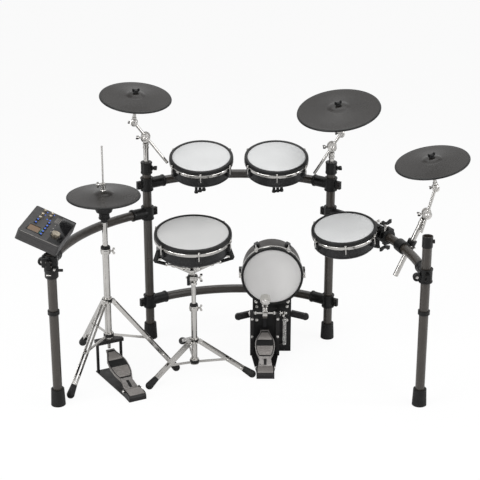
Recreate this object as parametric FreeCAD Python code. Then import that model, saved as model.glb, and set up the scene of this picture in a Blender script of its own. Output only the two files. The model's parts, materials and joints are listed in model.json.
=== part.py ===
"""Electronic drum kit: a curved tube rack with three tom pads and three boom cymbals,
a sound module, a snare pad on its stand, a hi-hat on its stand and a kick tower with pedal.

Millimetres, +X to the drummer's right, +Y away from the drummer, +Z up, floor at Z = 0.
"""
import FreeCAD, Part
import math
import os

V = FreeCAD.Vector
X_AXIS = V(1, 0, 0)
Y_AXIS = V(0, 1, 0)
Z_AXIS = V(0, 0, 1)

# Fits between pieces
slide_fit = 0.3          # radial room of a sleeve on a tube
pin_fit = 0.06           # radial room of a hinge pin
seat_gap = 0.3           # room between pieces of different bodies that face each other

# Rack: 1.5 inch tube, in plan two straight posts behind and one at each front end
tube_d = 38.1
tube_wall = 2.0
front_post_x = 739.0
rear_post_x = 397.0
rack_depth = 630.0
rear_post_top = 827.0
front_left_top = 668.0
front_right_top = 742.0
upper_bar_z = 733.0
lower_bar_z = 181.0
wing_rear_z = 600.0
wing_left_front_z = 636.0
wing_right_front_z = 576.0
rear_bar_bow = 130.0
wing_bow = 77.0
bar_setback = 32.0       # from a post's axis to the end of a bar
clamp_wall = 7.0
clamp_height = 56.0
socket_wall = 5.0
socket_reach = 84.0
ear_reach = 48.0
ear_height = 34.0
ear_thickness = 15.0
leg_collar_z = 407.0
leg_collar_height = 16.0
foot_height = 72.0
foot_bottom_r = 30.0
foot_top_r = 27.0
foot_floor = 8.0

# Boom stands for the three cymbals
boom_tube_d = 22.2
boom_rod_d = 12.7
boom_depth = 120.0       # how far the boom tube reaches down into its post
top_collar_height = 46.0
top_collar_cap = 6.0
end_sleeve_wall = 2.5
end_bolt_r = 8.0
end_bolt_reach = 7.0
ratchet_r = 17.0
ratchet_t = 15.0         # thickness of the fixed ratchet disc
ratchet_arm_t = 31.0     # thickness of the disc that carries the boom rod
ratchet_rod_depth = 22.0
hinge_pin_r = 5.0
hinge_pin_reach = 12.0
tilter_r = 13.0
tilter_t = 26.0
neck_r = 7.0
stem_r = 4.0
stem_above = 14.0
seat_r = 15.0
seat_inner_r = 4.5
seat_slope = 0.47
seat_reach = 130.0       # from a tilter's axis up to the cymbal's seat

left_boom_ratchet_z = 947.0
left_boom_up = V(-46, 0, 69)
left_boom_down = V(92, 0, -112)
left_crash_tilt = V(0.09, -0.145, 1)
middle_boom_ratchet_z = 905.0
middle_boom_up = V(37, 0, 62)
middle_boom_down = V(-74, 0, -118)
ride_tilt = V(-0.13, -0.217, 1)
right_boom_foot = V(653, 292, 448)
right_boom_ratchet = V(769, 292, 728)
right_boom_up = V(29, 0, 117)
right_boom_down = V(-20, 0, -78)
right_crash_tilt = V(-0.18, -0.108, 1)

# Cymbal pads
crash_d = 305.0
ride_d = 355.0
hihat_d = 305.0
cymbal_bore_r = 7.5
cymbal_crown = 7.0
bell_share = 0.145       # bell's radius as a share of the cymbal's diameter
bell_drop = 11.0
bell_curve = ((0.0, 0.0), (0.3, 0.08), (0.6, 0.36), (0.85, 0.75), (1.15, 1.0))   # width, drop
cymbal_t = 5.5
edge_roll = 10.0
edge_nose = 2.0
edge_lip = 1.6
bow_slope = 0.06
wing_nut_r = 11.0
wing_nut_h = 13.0
wing_span = 34.0
wing_root = 6.5
wing_h = 20.0
wing_t = 5.0
nut_room = 2.0           # between a stem's end and its wing nut
stem_room = 2.6          # a cymbal rocks this far about its stem

# Drum pads: rim is the outside of the rubber-covered hoop
tom_rim_d = 272.0
snare_rim_d = 322.0
hoop_band = 9.0          # hoop outside to shell outside
hoop_lip = 2.5           # how far the hoop's lip reaches in past the shell's outside
hoop_h = 28.0
hoop_rise = 3.0          # the hoop stands this much over the head
hoop_step = 1.5          # the rubber stands this far out over the bare hoop below it
hoop_bare_h = 8.0
hoop_round = 3.0
head_t = 1.0
head_collar = 1.5
head_collar_h = 9.0
shell_wall = 4.0
tom_depth = 78.0
snare_depth = 80.0
lug_w = 22.0
lug_h = 26.0
lug_t = 6.0
lug_count = 6
sensor_r = 34.0
sensor_plate_t = 5.0
sensor_tip_r = 9.0
tom_pin_y = 88.0         # from the drum's axis to its tilting pin
snare_lug_turn = 40.0
tom_lug_turn = 30.0
pin_drop = 17.0
tom_pin_r = 5.0
tom_pin_half = 28.0
tom_sleeve_r = 11.0
tom_eye_room = 1.5       # between a mounting post and the eyes beside it
tom_post_r = 8.0
mount_sleeve_len = 46.0
mount_wall = 8.0
knob_r = 6.5
knob_reach = 15.0
knob_pitch = 17.0
mount_knob_drops = (54.0, 50.0, 46.0)

tom_x = 160.0
tom_y = 588.0
tom_z = 870.0
tom_tilt = V(0, -0.213, 1)
floor_tom_x = 437.0
floor_tom_z = 640.0
floor_tom_along = 23 / 42   # its place along the rack's depth, counted from the front posts
floor_tom = V(floor_tom_x, rack_depth * floor_tom_along, floor_tom_z)
floor_tom_tilt = V(-0.09, -0.15, 1)
floor_tom_mount_side = V(0.88, 0.47, 0)

# Snare stand
snare_axis = V(-190, 314, 0)
snare_head_z = 630.0
snare_tilt = V(0, -0.12, 1)
snare_tube_d = 25.4
snare_upper_d = 19.0
snare_tube_foot = 26.0
snare_tube_top = 300.0
snare_tilter_z = 428.0
snare_collar_z = 138.0
snare_hub_z = 40.0
snare_leg_spread = 256.0
snare_leg_turn = 104.0
basket_turns = (205.0, 345.0, 95.0)
basket_rod_r = 4.5
basket_neck_r = 7.0
basket_grip_t = 8.0
basket_grip_w = 20.0
basket_grip_top = 54.0
basket_grip_lip = 14.0
basket_grip_out = 18.0   # a grip's knee stands this far out from the shell

# Hi-hat stand
hihat_axis = V(-553, 303, 0)
hihat_tube_d = 28.6
hihat_upper_d = 22.2
hihat_tube_foot = 150.0
hihat_tube_top = 565.0
hihat_collar_z = 331.0
hihat_hub_z = 170.0
hihat_leg_spread = 284.0
hihat_leg_turn = 0.0
controller_foot = 697.0
controller_top = 772.0
controller_r = 40.0
controller_curve = ((0.55, 0.0), (0.55, 0.33), (0.82, 0.43), (1.0, 0.7), (1.0, 1.0))   # radius, height
hihat_cymbal_z = 812.0
pull_rod_r = 3.5
pull_rod_top = 1012.0
rod_room = 1.0
clutch_r = 9.0
clutch_h = 34.0
clutch_felt_r = 12.0
clutch_felt_h = 8.0
clutch_screw_z = 26.0
clutch_screw = 17.0
clutch_wing_half = 10.0
link_r = 7.0
link_room = 2.0

# Tripod legs, shared by both stands
leg_strip_t = 3.0
leg_strip_h = 15.0
leg_gap = 14.0
leg_root_r = 21.0
leg_tip_h = 9.0
leg_tip_reach = 17.0     # how far a leg's end reaches into its rubber boot
leg_pin_r = 3.0
collar_wall = 6.0
collar_h = 22.0
boot_rise = 13.0         # a boot's sole centre over the floor
boot_top_r = 12.5
boot_sole_r = 16.5
boot_len = 44.0
brace_t = 6.0
brace_h = 9.0
brace_at = 0.55          # share of the leg's length at which its brace is pinned

# Foot pedals, along their own length from the heel's front edge
pedal_w = 86.0
heel_w = 76.0
pedal_waist_w = 50.0
pedal_toe_w = 36.0
heel_len = 54.0
heel_h = 30.0
heel_wall = 4.0
heel_nose_h = 16.5
heel_brow_x = 6.5
heel_brow_h = 27.0
heel_ridge_x = 27.0
hinge_back = 8.0         # hinge pin behind the heel plate
hinge_drop = 8.0         # and below the heel plate's top
hinge_ear_len = 20.0
hinge_ear_w = 6.0
board_t = 7.0
board_pin_r = 4.0
barrel_wall = 2.0
board_root_share = 0.8   # board's width at its hinge, as a share of the heel's
board_outline = ((0.2, pedal_waist_w), (0.38, 77.0), (0.55, pedal_w), (0.72, 79.0), (0.92, 43.0),
                 (1.0, pedal_toe_w))   # share of the board's length, width there
base_t = 5.0
base_w = 76.0
hihat_pedal_heel = V(-415, 28, 0)
hihat_upright_half = 53.0
hihat_upright_r = 6.5
hihat_bridge_h = 14.0
hihat_board_rise = 0.33
kick_pedal_heel = V(113, 222, 0)
kick_pedal_len = 222.0
kick_board_rise = 0.52
kick_toe_over = 4.0      # toe past the drive strap
kick_axle_z = 204.0
kick_axle_r = 5.0
kick_upright_half = 56.0
kick_upright_w = 16.0
kick_upright_d = 22.0
cam_r = 24.0
cam_w = 20.0
strap_w = 14.0
strap_t = 4.0
beater_reach = 128.0
beater_lean = 40.0
beater_shaft_r = 3.2
beater_r = 22.0
beater_len = 46.0
rocker_reach = 26.0
spring_coil_r = 8.0
spring_wire_r = 1.1
spring_turns = 22
spring_foot_z = 62.0
spring_bend_r = 4.0
points_per_turn = 24

# Kick tower
kick_x = 144.0
kick_face_y = 462.0
kick_z = 368.0
kick_rim_d = 266.0
kick_rim_t = 26.0
kick_shell_len = 96.0
kick_head_inset = 6.0
kick_head_t = 3.0
kick_rim_band = 9.0
kick_flange_t = 6.0
kick_flange_w = 20.0
kick_shell_step = 6.0    # rim outside to shell outside
tower_w = 168.0
tower_t = 6.0
tower_base_len = 190.0
spur_len = 62.0
spur_h = 28.0
spur_t = 14.0
spur_z = 182.0

# Sound module: long side towards the drummer's right, tilted to face the drummer
module_centre = V(-755, 77, 754)
module_long = V(-0.157, -0.9876, 0)
module_slope = 22.4
module_w = 264.0
module_d = 175.0
module_h = 42.0
module_corner = 8.0
case_wall = 3.0
circuit_t = 1.6
display_w = 50.0
display_d = 46.0
display_recess = 1.2
display_room = 0.2
display_spot = V(68, -38, 0)
dial_r = 17.0
dial_h = 14.0
dial_shaft_r = 4.0
dial_spot = V(54, 48, 0)
small_knob_r = 6.5
small_knob_h = 10.0
small_knob_shaft_r = 3.0
small_knob_spots = (V(-105, -44, 0), V(-68, -44, 0), V(-32, -44, 0), V(-106, -13, 0), V(-77, -13, 0))
shaft_depth = 12.0       # how far a knob's shaft reaches into the case
button_w = 16.0
button_d = 9.0
button_depth = 5.0
button_rise = 2.5
button_room = 0.5        # between a key and its opening
button_travel = 1.5
button_spots = (V(-25, -2, 0), V(5, -2, 0), V(34, -2, 0), V(63, -2, 0), V(92, -2, 0),
                V(-17, -48, 0), V(13, -48, 0))
bracket_pin_r = 5.0
bracket_eye_r = 12.0
bracket_drop = 16.0
bracket_half = 34.0
bracket_eye_in = 14.0
bracket_rod_r = 6.0
bracket_rise = 1.0       # bracket rod over the post's top edge

tube_r = tube_d / 2
boom_tube_r = boom_tube_d / 2
boom_rod_r = boom_rod_d / 2
nodes = {}


def unit(vector):
    return V(vector).normalize()


def rod(start, end, radius):
    """Solid round bar from start to end."""
    along = end - start
    return Part.makeCylinder(radius, along.Length, start, along)


def pipe(start, end, outer_r, inner_r):
    """Straight tube from start to end."""
    reach = unit(end - start)
    return rod(start, end, outer_r).cut(rod(start - reach, end + reach, inner_r))


def cone(start, end, start_r, end_r):
    along = end - start
    return Part.makeCone(start_r, end_r, along.Length, start, along)


def turned(points):
    """Solid turned about the local Z axis from (radius, height) points."""
    wire = Part.makePolygon([V(r, 0, z) for r, z in points] + [V(points[0][0], 0, points[0][1])])
    return Part.Face(wire).revolve(V(0, 0, 0), Z_AXIS, 360)


def block(x_size, y_size, z_low, z_high):
    """Box centred on the local Z axis."""
    return Part.makeBox(x_size, y_size, z_high - z_low, V(-x_size / 2, -y_size / 2, z_low))


def strip(start, end, width, height):
    """Flat bar from start to end, its height in the upright plane through both."""
    along = end - start
    return placed(Part.makeBox(along.Length, width, height, V(0, -width / 2, -height / 2)),
                  start, along, unit(along).cross(unit(along).cross(Z_AXIS)).multiply(-1))


def placed(shape, origin, x_dir, z_dir):
    """Copy of a shape built about a local origin, set at origin with the given X and Z."""
    z_unit = unit(z_dir)
    y_unit = unit(z_unit.cross(x_dir))
    turn = FreeCAD.Rotation(y_unit.cross(z_unit), y_unit, z_unit, "ZXY")
    result = shape.copy()
    result.Placement = FreeCAD.Placement(origin, turn).multiply(shape.Placement)
    return result


def point_in(origin, x_dir, z_dir, local):
    """World place of a local point, for a frame as placed() uses it."""
    z_unit = unit(z_dir)
    y_unit = unit(z_unit.cross(x_dir))
    x_unit = y_unit.cross(z_unit)
    return origin + x_unit * local.x + y_unit * local.y + z_unit * local.z


def fused(shapes):
    return shapes[0].multiFuse(shapes[1:]).removeSplitter()


def group(shapes):
    return Part.makeCompound(shapes)


def add_to(name, shapes):
    """Put more separate solids of the same kind and body into a node."""
    nodes[name] = group(nodes[name].Solids + shapes)


def polar(radius, degrees, z=0.0):
    angle = math.radians(degrees)
    return V(radius * math.cos(angle), radius * math.sin(angle), z)


def flat_direction(start, end):
    return unit(V(end.x - start.x, end.y - start.y, 0))


class BowedBar:
    """Rack tube bent to one radius between two posts, bowed away from the drummer."""

    def __init__(self, start, end, bow):
        chord = flat_direction(start, end)
        outward = V(-chord.y, chord.x, 0)
        arc = Part.Arc(start, (start + end) * 0.5 + outward * bow, end).toShape()
        trim = bar_setback / arc.Curve.Radius
        self.edge = Part.Edge(arc.Curve, arc.FirstParameter + trim, arc.LastParameter - trim)

    def point(self, share):
        return self.edge.valueAt(self.parameter(share))

    def tangent(self, share):
        return unit(self.edge.tangentAt(self.parameter(share)))

    def parameter(self, share):
        first = self.edge.FirstParameter
        return first + share * (self.edge.LastParameter - first)

    def swept(self, radius):
        ring = Part.Wire(Part.Circle(self.point(0), self.tangent(0), radius).toShape())
        return Part.Wire([self.edge]).makePipeShell([ring], True, False)

    def tube(self):
        return self.swept(tube_r).cut(self.swept(tube_r - tube_wall))

    def sag(self, reach):
        """How far the bar bends aside from its straight start over a reach."""
        return reach ** 2 / (2 * self.edge.Curve.Radius)

    def room(self):
        """What a clamp on this bar has to leave free."""
        return self.swept(tube_r + slide_fit)


def rack_post(x, y, top):
    return pipe(V(x, y, foot_floor), V(x, y, top), tube_r, tube_r - tube_wall)


def post_room(x, y, top):
    return rod(V(x, y, 0), V(x, y, top + clamp_height), tube_r + slide_fit)


def rubber_foot(x, y):
    cup = cone(V(x, y, 0), V(x, y, foot_height), foot_bottom_r, foot_top_r)
    return cup.cut(rod(V(x, y, foot_floor), V(x, y, foot_height + foot_floor), tube_r + slide_fit))


def tee_clamp(post, bar_start, towards, bar, post_top):
    """Two-way clamp: a sleeve on a post and a socket for the end of a bowed bar."""
    half = V(0, 0, clamp_height / 2)
    sleeve = rod(post - half, post + half, tube_r + clamp_wall)
    reach = unit(towards)
    socket = rod(post, post + reach * socket_reach, tube_r + socket_wall)
    ear_dir = V(-reach.x, -reach.y, 0)
    ear = placed(Part.makeBox(ear_reach, ear_thickness, ear_height,
                              V(0, -ear_thickness / 2, -ear_height / 2)), post, ear_dir, Z_AXIS)
    body = fused([sleeve, socket, ear])
    room = rod(bar_start - reach * slide_fit, bar_start + reach * socket_reach,
               tube_r + slide_fit + bar.sag(socket_reach - bar_setback))
    return body.cut(post_room(post.x, post.y, post_top)).cut(room)


def top_collar(x, y, top, tube_radius):
    """Cap on a post's open end that guides a boom tube, with its T-screw."""
    low = V(x, y, top - top_collar_height)
    high = V(x, y, top + top_collar_cap)
    collar = rod(low, high, tube_r + socket_wall).cut(rod(low - Z_AXIS, V(x, y, top), tube_r + slide_fit))
    knob = rod(V(x + tube_r, y, top - top_collar_height / 2),
               V(x + tube_r + socket_wall + knob_reach, y, top - top_collar_height / 2), knob_r)
    knob = knob.cut(rod(low, high, tube_r + socket_wall / 2))
    return fused([collar, knob]).cut(rod(low - Z_AXIS, high + Z_AXIS, tube_radius + slide_fit))


def end_sleeve(x, y, top):
    """Sleeve with its hex bolt around the open top of a front post."""
    low = V(x, y, top - top_collar_height)
    ring = rod(low, V(x, y, top), tube_r + end_sleeve_wall)
    at = V(x, y, top - top_collar_height / 2)
    bolt = rod(at, at + X_AXIS * (tube_r + end_sleeve_wall + end_bolt_reach), end_bolt_r)
    return fused([ring, bolt]).cut(rod(low - Z_AXIS, V(x, y, top + 1), tube_r + slide_fit))


def fixed_disc(centre, axis):
    """Ratchet half with the hinge pin, on the positive side of the joint."""
    reach = unit(axis)
    disc = rod(centre + reach * (seat_gap / 2), centre + reach * ratchet_t, ratchet_r)
    pin = rod(centre + reach * (ratchet_t / 2), centre - reach * hinge_pin_reach, hinge_pin_r)
    return [disc, pin]


def moving_disc(centre, axis, thickness):
    """Ratchet half that turns on the pin, on the negative side of the joint."""
    reach = unit(axis)
    disc = rod(centre - reach * (seat_gap / 2), centre - reach * thickness, ratchet_r)
    hole = rod(centre, centre - reach * (hinge_pin_reach + seat_gap), hinge_pin_r + pin_fit)
    return disc.cut(hole)


def boom_post(foot, ratchet, axis):
    """Chrome boom tube with the fixed half of its ratchet."""
    reach = unit(ratchet - foot)
    tube = rod(foot, ratchet, boom_tube_r).cut(rod(ratchet, ratchet - unit(axis) * ratchet_r * 2,
                                                   ratchet_r + seat_gap))
    side = unit(axis)
    clear = rod(ratchet - side * (seat_gap / 2), ratchet - side * ratchet_r * 2, ratchet_r * 2)
    tube = tube.cut(clear)
    bore = rod(foot - reach, ratchet - reach * ratchet_r * 2, boom_tube_r - tube_wall)
    return fused([tube.cut(bore)] + fixed_disc(ratchet, axis))


def boom_arm(ratchet, axis, up, down, tilt):
    """Boom rod in its ratchet half, with the tilter, stem and seat of a cymbal."""
    side = unit(axis)
    middle = ratchet - side * ratchet_rod_depth
    top = middle + up
    lean = unit(tilt)
    boom = rod(middle + down, top, boom_rod_r)
    tilter = rod(top - side * (tilter_t / 2), top + side * (tilter_t / 2), tilter_r)
    seat_at = top + lean * seat_reach
    neck = rod(top, seat_at - lean * (seat_r * seat_slope), neck_r)
    stem = rod(top, seat_at + lean * stem_above, stem_r)
    seat = placed(turned([(0, 0), (seat_inner_r, 0), (seat_r, -(seat_r - seat_inner_r) * seat_slope),
                          (seat_r, -seat_r * seat_slope), (0, -seat_r * seat_slope)]),
                  seat_at, X_AXIS, lean)
    return fused([moving_disc(ratchet, axis, ratchet_arm_t), boom, tilter, neck, stem, seat])


def cymbal_seat(ratchet, axis, up, tilt):
    """Centre of the cymbal's bore, on its underside."""
    lean = unit(tilt)
    return ratchet - unit(axis) * ratchet_rod_depth + up + lean * (seat_reach + 2 * seat_gap)


def cymbal_pad(diameter):
    """Rubber cymbal about its bore: domed bell, sloping bow and rolled edge."""
    edge_r = diameter / 2
    bell_r = diameter * bell_share
    edge_z = -bell_drop - (edge_r - bell_r) * bow_slope
    bell = [(cymbal_bore_r + (bell_r - cymbal_bore_r) * out, -bell_drop * fall) for out, fall in bell_curve]
    upper = [(r, z + cymbal_crown) for r, z in bell]
    edge = [(edge_r - edge_roll, edge_z + cymbal_t), (edge_r - edge_nose, edge_z + cymbal_t / 2),
            (edge_r, edge_z), (edge_r - edge_nose, edge_z - edge_lip), (edge_r - edge_roll, edge_z)]
    return turned(upper + edge + list(reversed(bell)))


def wing_nut():
    """Rubber wing nut on the crown of a cymbal."""
    drum = rod(V(0, 0, cymbal_crown), V(0, 0, cymbal_crown + wing_nut_h), wing_nut_r)
    wings = block(wing_span, wing_t, cymbal_crown + wing_root, cymbal_crown + wing_h)
    return fused([drum, wings]).cut(rod(V(0, 0, 0), V(0, 0, stem_above + nut_room), stem_r + stem_room))


def cymbal_set(diameter, seat, tilt, turn):
    x_dir = polar(1, turn)
    shapes = [cymbal_pad(diameter), wing_nut()]
    return group([placed(shape, seat, x_dir, tilt) for shape in shapes])


def drum_shell(shell_r, depth, lug_turn):
    """Closed pad shell with its lugs, about the centre of the head's upper side."""
    body = turned([(0, -depth), (shell_r - shell_wall, -depth), (shell_r, -depth + shell_wall),
                   (shell_r, -head_t), (shell_r - shell_wall, -head_t),
                   (shell_r - shell_wall, -depth + shell_wall), (0, -depth + shell_wall)])
    lug_top = hoop_rise - hoop_h - seat_gap
    lugs = []
    for index in range(lug_count):
        lug = block(lug_t * 2, lug_w, lug_top - lug_h, lug_top)
        x_dir = polar(1, lug_turn + index * 360 / lug_count)
        lugs.append(placed(lug, x_dir * shell_r, x_dir, Z_AXIS))
    return fused([body] + lugs).cut(rod(V(0, 0, -depth + shell_wall), V(0, 0, 1), shell_r - shell_wall))


def drum_sensor(depth):
    """Trigger inside a pad: a plate on the shell's floor and a foam cone under the head."""
    floor = -depth + shell_wall
    return turned([(0, floor), (sensor_r, floor), (sensor_r, floor + sensor_plate_t),
                   (sensor_tip_r, -head_t - seat_gap), (0, -head_t - seat_gap)])


def drum_head(shell_r):
    """Mesh head drawn over the shell's edge, with its collar."""
    return turned([(0, -head_t), (shell_r + seat_gap, -head_t), (shell_r + seat_gap, -head_collar_h),
                   (shell_r + head_collar, -head_collar_h), (shell_r + head_collar, 0), (0, 0)])


def drum_hoop(rim_r, shell_r):
    """Hoop with its rubber cover: a rounded lip over the head's edge and a band down the side."""
    band_in = shell_r + head_collar + seat_gap
    lip_in = shell_r - hoop_lip
    low = hoop_rise - hoop_h
    bare_r = rim_r - hoop_step
    return turned([(band_in, low), (bare_r, low), (bare_r, low + hoop_bare_h),
                   (rim_r, low + hoop_bare_h + hoop_step), (rim_r, hoop_rise - hoop_round),
                   (rim_r - hoop_round, hoop_rise), (lip_in + hoop_round, hoop_rise),
                   (lip_in, hoop_rise - hoop_round / 2), (lip_in, seat_gap), (band_in, seat_gap)])


def pin_sleeves(depth, pin_y):
    """Two eyes under a pad's floor, one each side of its mounting post, for the tilting pin."""
    pin_z = -depth - pin_drop
    inner = tom_post_r + tom_eye_room
    eyes = []
    for side in (-1, 1):
        eye = rod(V(side * inner, pin_y, pin_z), V(side * tom_pin_half, pin_y, pin_z), tom_sleeve_r)
        web = Part.makeBox(tom_pin_half - inner, tom_sleeve_r * 2, pin_drop + shell_wall / 2,
                           V(inner if side > 0 else -tom_pin_half, pin_y - tom_sleeve_r, pin_z))
        eyes += [eye, web]
    return eyes


def tom_shell(shell_r):
    pin_z = -tom_depth - pin_drop
    body = fused([drum_shell(shell_r, tom_depth, tom_lug_turn)] + pin_sleeves(tom_depth, tom_pin_y))
    return body.cut(rod(V(-tom_pin_half * 2, tom_pin_y, pin_z), V(tom_pin_half * 2, tom_pin_y, pin_z),
                        tom_pin_r + pin_fit))


def mount_point(bar, target):
    """Share along a bar that lies nearest to a point."""
    shares = [step / 400 for step in range(401)]
    return min(shares, key=lambda share: (bar.point(share) - target).Length)


def tom_mount(bar, pin, pin_dir):
    """Clamp on a rack bar with the post, the tilting pin and the hand screws of a tom pad."""
    share = mount_point(bar, pin)
    at = bar.point(share)
    along = bar.tangent(share)
    sleeve = rod(at - along * (mount_sleeve_len / 2), at + along * (mount_sleeve_len / 2),
                 tube_r + mount_wall)
    knee = at - Z_AXIS * (max(at.z - pin.z, 0) + tom_post_r)
    post = fused([rod(at, knee, tom_post_r), Part.makeSphere(tom_post_r, knee),
                  rod(knee, pin, tom_post_r)])
    across = unit(pin_dir)
    cross_pin = rod(pin - across * tom_pin_half, pin + across * tom_pin_half, tom_pin_r)
    knobs = []
    for index, drop in enumerate(mount_knob_drops):
        top = at + along * ((index - 1) * knob_pitch)
        knobs.append(rod(top, top - Z_AXIS * (tube_r + mount_wall + drop), knob_r))
    return fused([sleeve, post, cross_pin] + knobs).cut(bar.room())


def drum_set(rim_d, depth, shell, centre, x_dir, tilt, name):
    """Shell with its sensor, hoop and head of one pad, placed and stored under its name."""
    shell_r = rim_d / 2 - hoop_band
    pieces = {name + "_shell": [shell, drum_sensor(depth)],
              name + "_hoop": [drum_hoop(rim_d / 2, shell_r)],
              name + "_head": [drum_head(shell_r)]}
    for node, shapes in pieces.items():
        nodes[node] = group([placed(shape, centre, x_dir, tilt) for shape in shapes])


def build_rack():
    """Posts, bowed bars, clamps and feet; returns the bars by name."""
    left_rear = V(-rear_post_x, rack_depth, 0)
    right_rear = V(rear_post_x, rack_depth, 0)
    left_front = V(-front_post_x, 0, 0)
    right_front = V(front_post_x, 0, 0)
    up = Z_AXIS
    bars = {
        "upper": BowedBar(left_rear + up * upper_bar_z, right_rear + up * upper_bar_z, rear_bar_bow),
        "lower": BowedBar(left_rear + up * lower_bar_z, right_rear + up * lower_bar_z, rear_bar_bow),
        "left": BowedBar(left_front + up * wing_left_front_z, left_rear + up * wing_rear_z, wing_bow),
        "right": BowedBar(right_rear + up * wing_rear_z, right_front + up * wing_right_front_z, wing_bow),
    }
    rear_posts = (left_rear, right_rear)
    nodes["rear_posts"] = group([rack_post(post.x, post.y, rear_post_top) for post in rear_posts])
    nodes["rear_upper_bar"] = bars["upper"].tube()
    nodes["rear_lower_bar"] = bars["lower"].tube()
    nodes["rubber_feet"] = group([rubber_foot(post.x, post.y) for post in rear_posts])
    clamps = []
    for bar, z in ((bars["upper"], upper_bar_z), (bars["lower"], lower_bar_z)):
        clamps.append(tee_clamp(left_rear + up * z, bar.point(0), bar.tangent(0), bar, rear_post_top))
        clamps.append(tee_clamp(right_rear + up * z, bar.point(1), bar.tangent(1) * -1, bar, rear_post_top))
    collars = [top_collar(post.x, post.y, rear_post_top, boom_tube_r) for post in rear_posts]
    nodes["rear_clamps"] = group(clamps + collars)
    build_wing("left", left_front, left_rear, front_left_top, wing_left_front_z, bars["left"], 0)
    build_wing("right", right_front, right_rear, front_right_top, wing_right_front_z, bars["right"], 1)
    add_to("right_wing_clamps", [end_sleeve(right_front.x, right_front.y, front_right_top)])
    return bars


def build_wing(side, front, rear, top, front_z, bar, front_share):
    """One wing of the rack: bowed arm, front post with its foot, and the clamps at both ends."""
    inward = 1 if front_share == 0 else -1
    nodes[side + "_wing_arm"] = bar.tube()
    nodes["front_" + side + "_post"] = rack_post(front.x, front.y, top)
    nodes["front_" + side + "_foot"] = rubber_foot(front.x, front.y)
    collar = pipe(V(front.x, front.y, leg_collar_z), V(front.x, front.y, leg_collar_z + leg_collar_height),
                  tube_r + socket_wall, tube_r + slide_fit)
    clamps = [
        tee_clamp(front + Z_AXIS * front_z, bar.point(front_share), bar.tangent(front_share) * inward,
                  bar, top),
        tee_clamp(rear + Z_AXIS * wing_rear_z, bar.point(1 - front_share),
                  bar.tangent(1 - front_share) * -inward, bar, rear_post_top),
        collar,
    ]
    nodes[side + "_wing_clamps"] = group(clamps)


def build_toms(bars):
    shell_r = tom_rim_d / 2 - hoop_band
    shell = tom_shell(shell_r)
    pin_local = V(0, tom_pin_y, -tom_depth - pin_drop)
    mounts = []
    for name, x in (("left_tom", -tom_x), ("right_tom", tom_x)):
        centre = V(x, tom_y, tom_z)
        drum_set(tom_rim_d, tom_depth, shell, centre, X_AXIS, tom_tilt, name)
        pin = point_in(centre, X_AXIS, tom_tilt, pin_local)
        mounts.append(tom_mount(bars["upper"], pin, X_AXIS))
    add_to("rear_clamps", mounts)
    across = floor_tom_mount_side.cross(Z_AXIS)
    drum_set(tom_rim_d, tom_depth, shell, floor_tom, across, floor_tom_tilt, "floor_tom")
    pin = point_in(floor_tom, across, floor_tom_tilt, pin_local)
    pin_end = point_in(floor_tom, across, floor_tom_tilt, pin_local + X_AXIS)
    add_to("right_wing_clamps", [tom_mount(bars["right"], pin, pin_end - pin)])


def build_booms():
    for name, x, ratchet_z, up, down, cymbal, size, tilt in (
            ("left", -rear_post_x, left_boom_ratchet_z, left_boom_up, left_boom_down,
             "left_crash", crash_d, left_crash_tilt),
            ("middle", rear_post_x, middle_boom_ratchet_z, middle_boom_up, middle_boom_down,
             "ride", ride_d, ride_tilt)):
        foot = V(x, rack_depth, rear_post_top - boom_depth)
        boom(name, foot, V(x, rack_depth, ratchet_z), up, down, cymbal, size, tilt)
    boom("right", right_boom_foot, right_boom_ratchet, right_boom_up, right_boom_down,
         "right_crash", crash_d, right_crash_tilt)


def boom(name, foot, ratchet, up, down, cymbal, size, tilt):
    nodes[name + "_boom_post"] = boom_post(foot, ratchet, Y_AXIS)
    nodes[name + "_boom_arm"] = boom_arm(ratchet, Y_AXIS, up, down, tilt)
    seat = cymbal_seat(ratchet, Y_AXIS, up, tilt)
    nodes[cymbal + "_cymbal"] = cymbal_set(size, seat, tilt, 20)


def build_right_boom_clamp(bars):
    """Clamp that holds the slanted boom tube of the right crash on the right wing's arm."""
    bar = bars["right"]
    reach = unit(right_boom_ratchet - right_boom_foot)
    level = bar.point(mount_point(bar, right_boom_foot))
    at = right_boom_foot + reach * ((level.z - right_boom_foot.z) / reach.z)
    share = mount_point(bar, at)
    on_bar = bar.point(share)
    along = bar.tangent(share)
    sleeve = rod(on_bar - along * (mount_sleeve_len / 2), on_bar + along * (mount_sleeve_len / 2),
                 tube_r + mount_wall)
    bridge = rod(on_bar, at, tom_post_r * 2)
    eye = rod(at - reach * (mount_sleeve_len / 2), at + reach * (mount_sleeve_len / 2),
              boom_tube_r + mount_wall)
    body = fused([sleeve, bridge, eye]).cut(bar.room())
    room = rod(right_boom_foot - reach * mount_sleeve_len, right_boom_ratchet, boom_tube_r + slide_fit)
    add_to("right_wing_clamps", [body.cut(room)])


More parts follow.
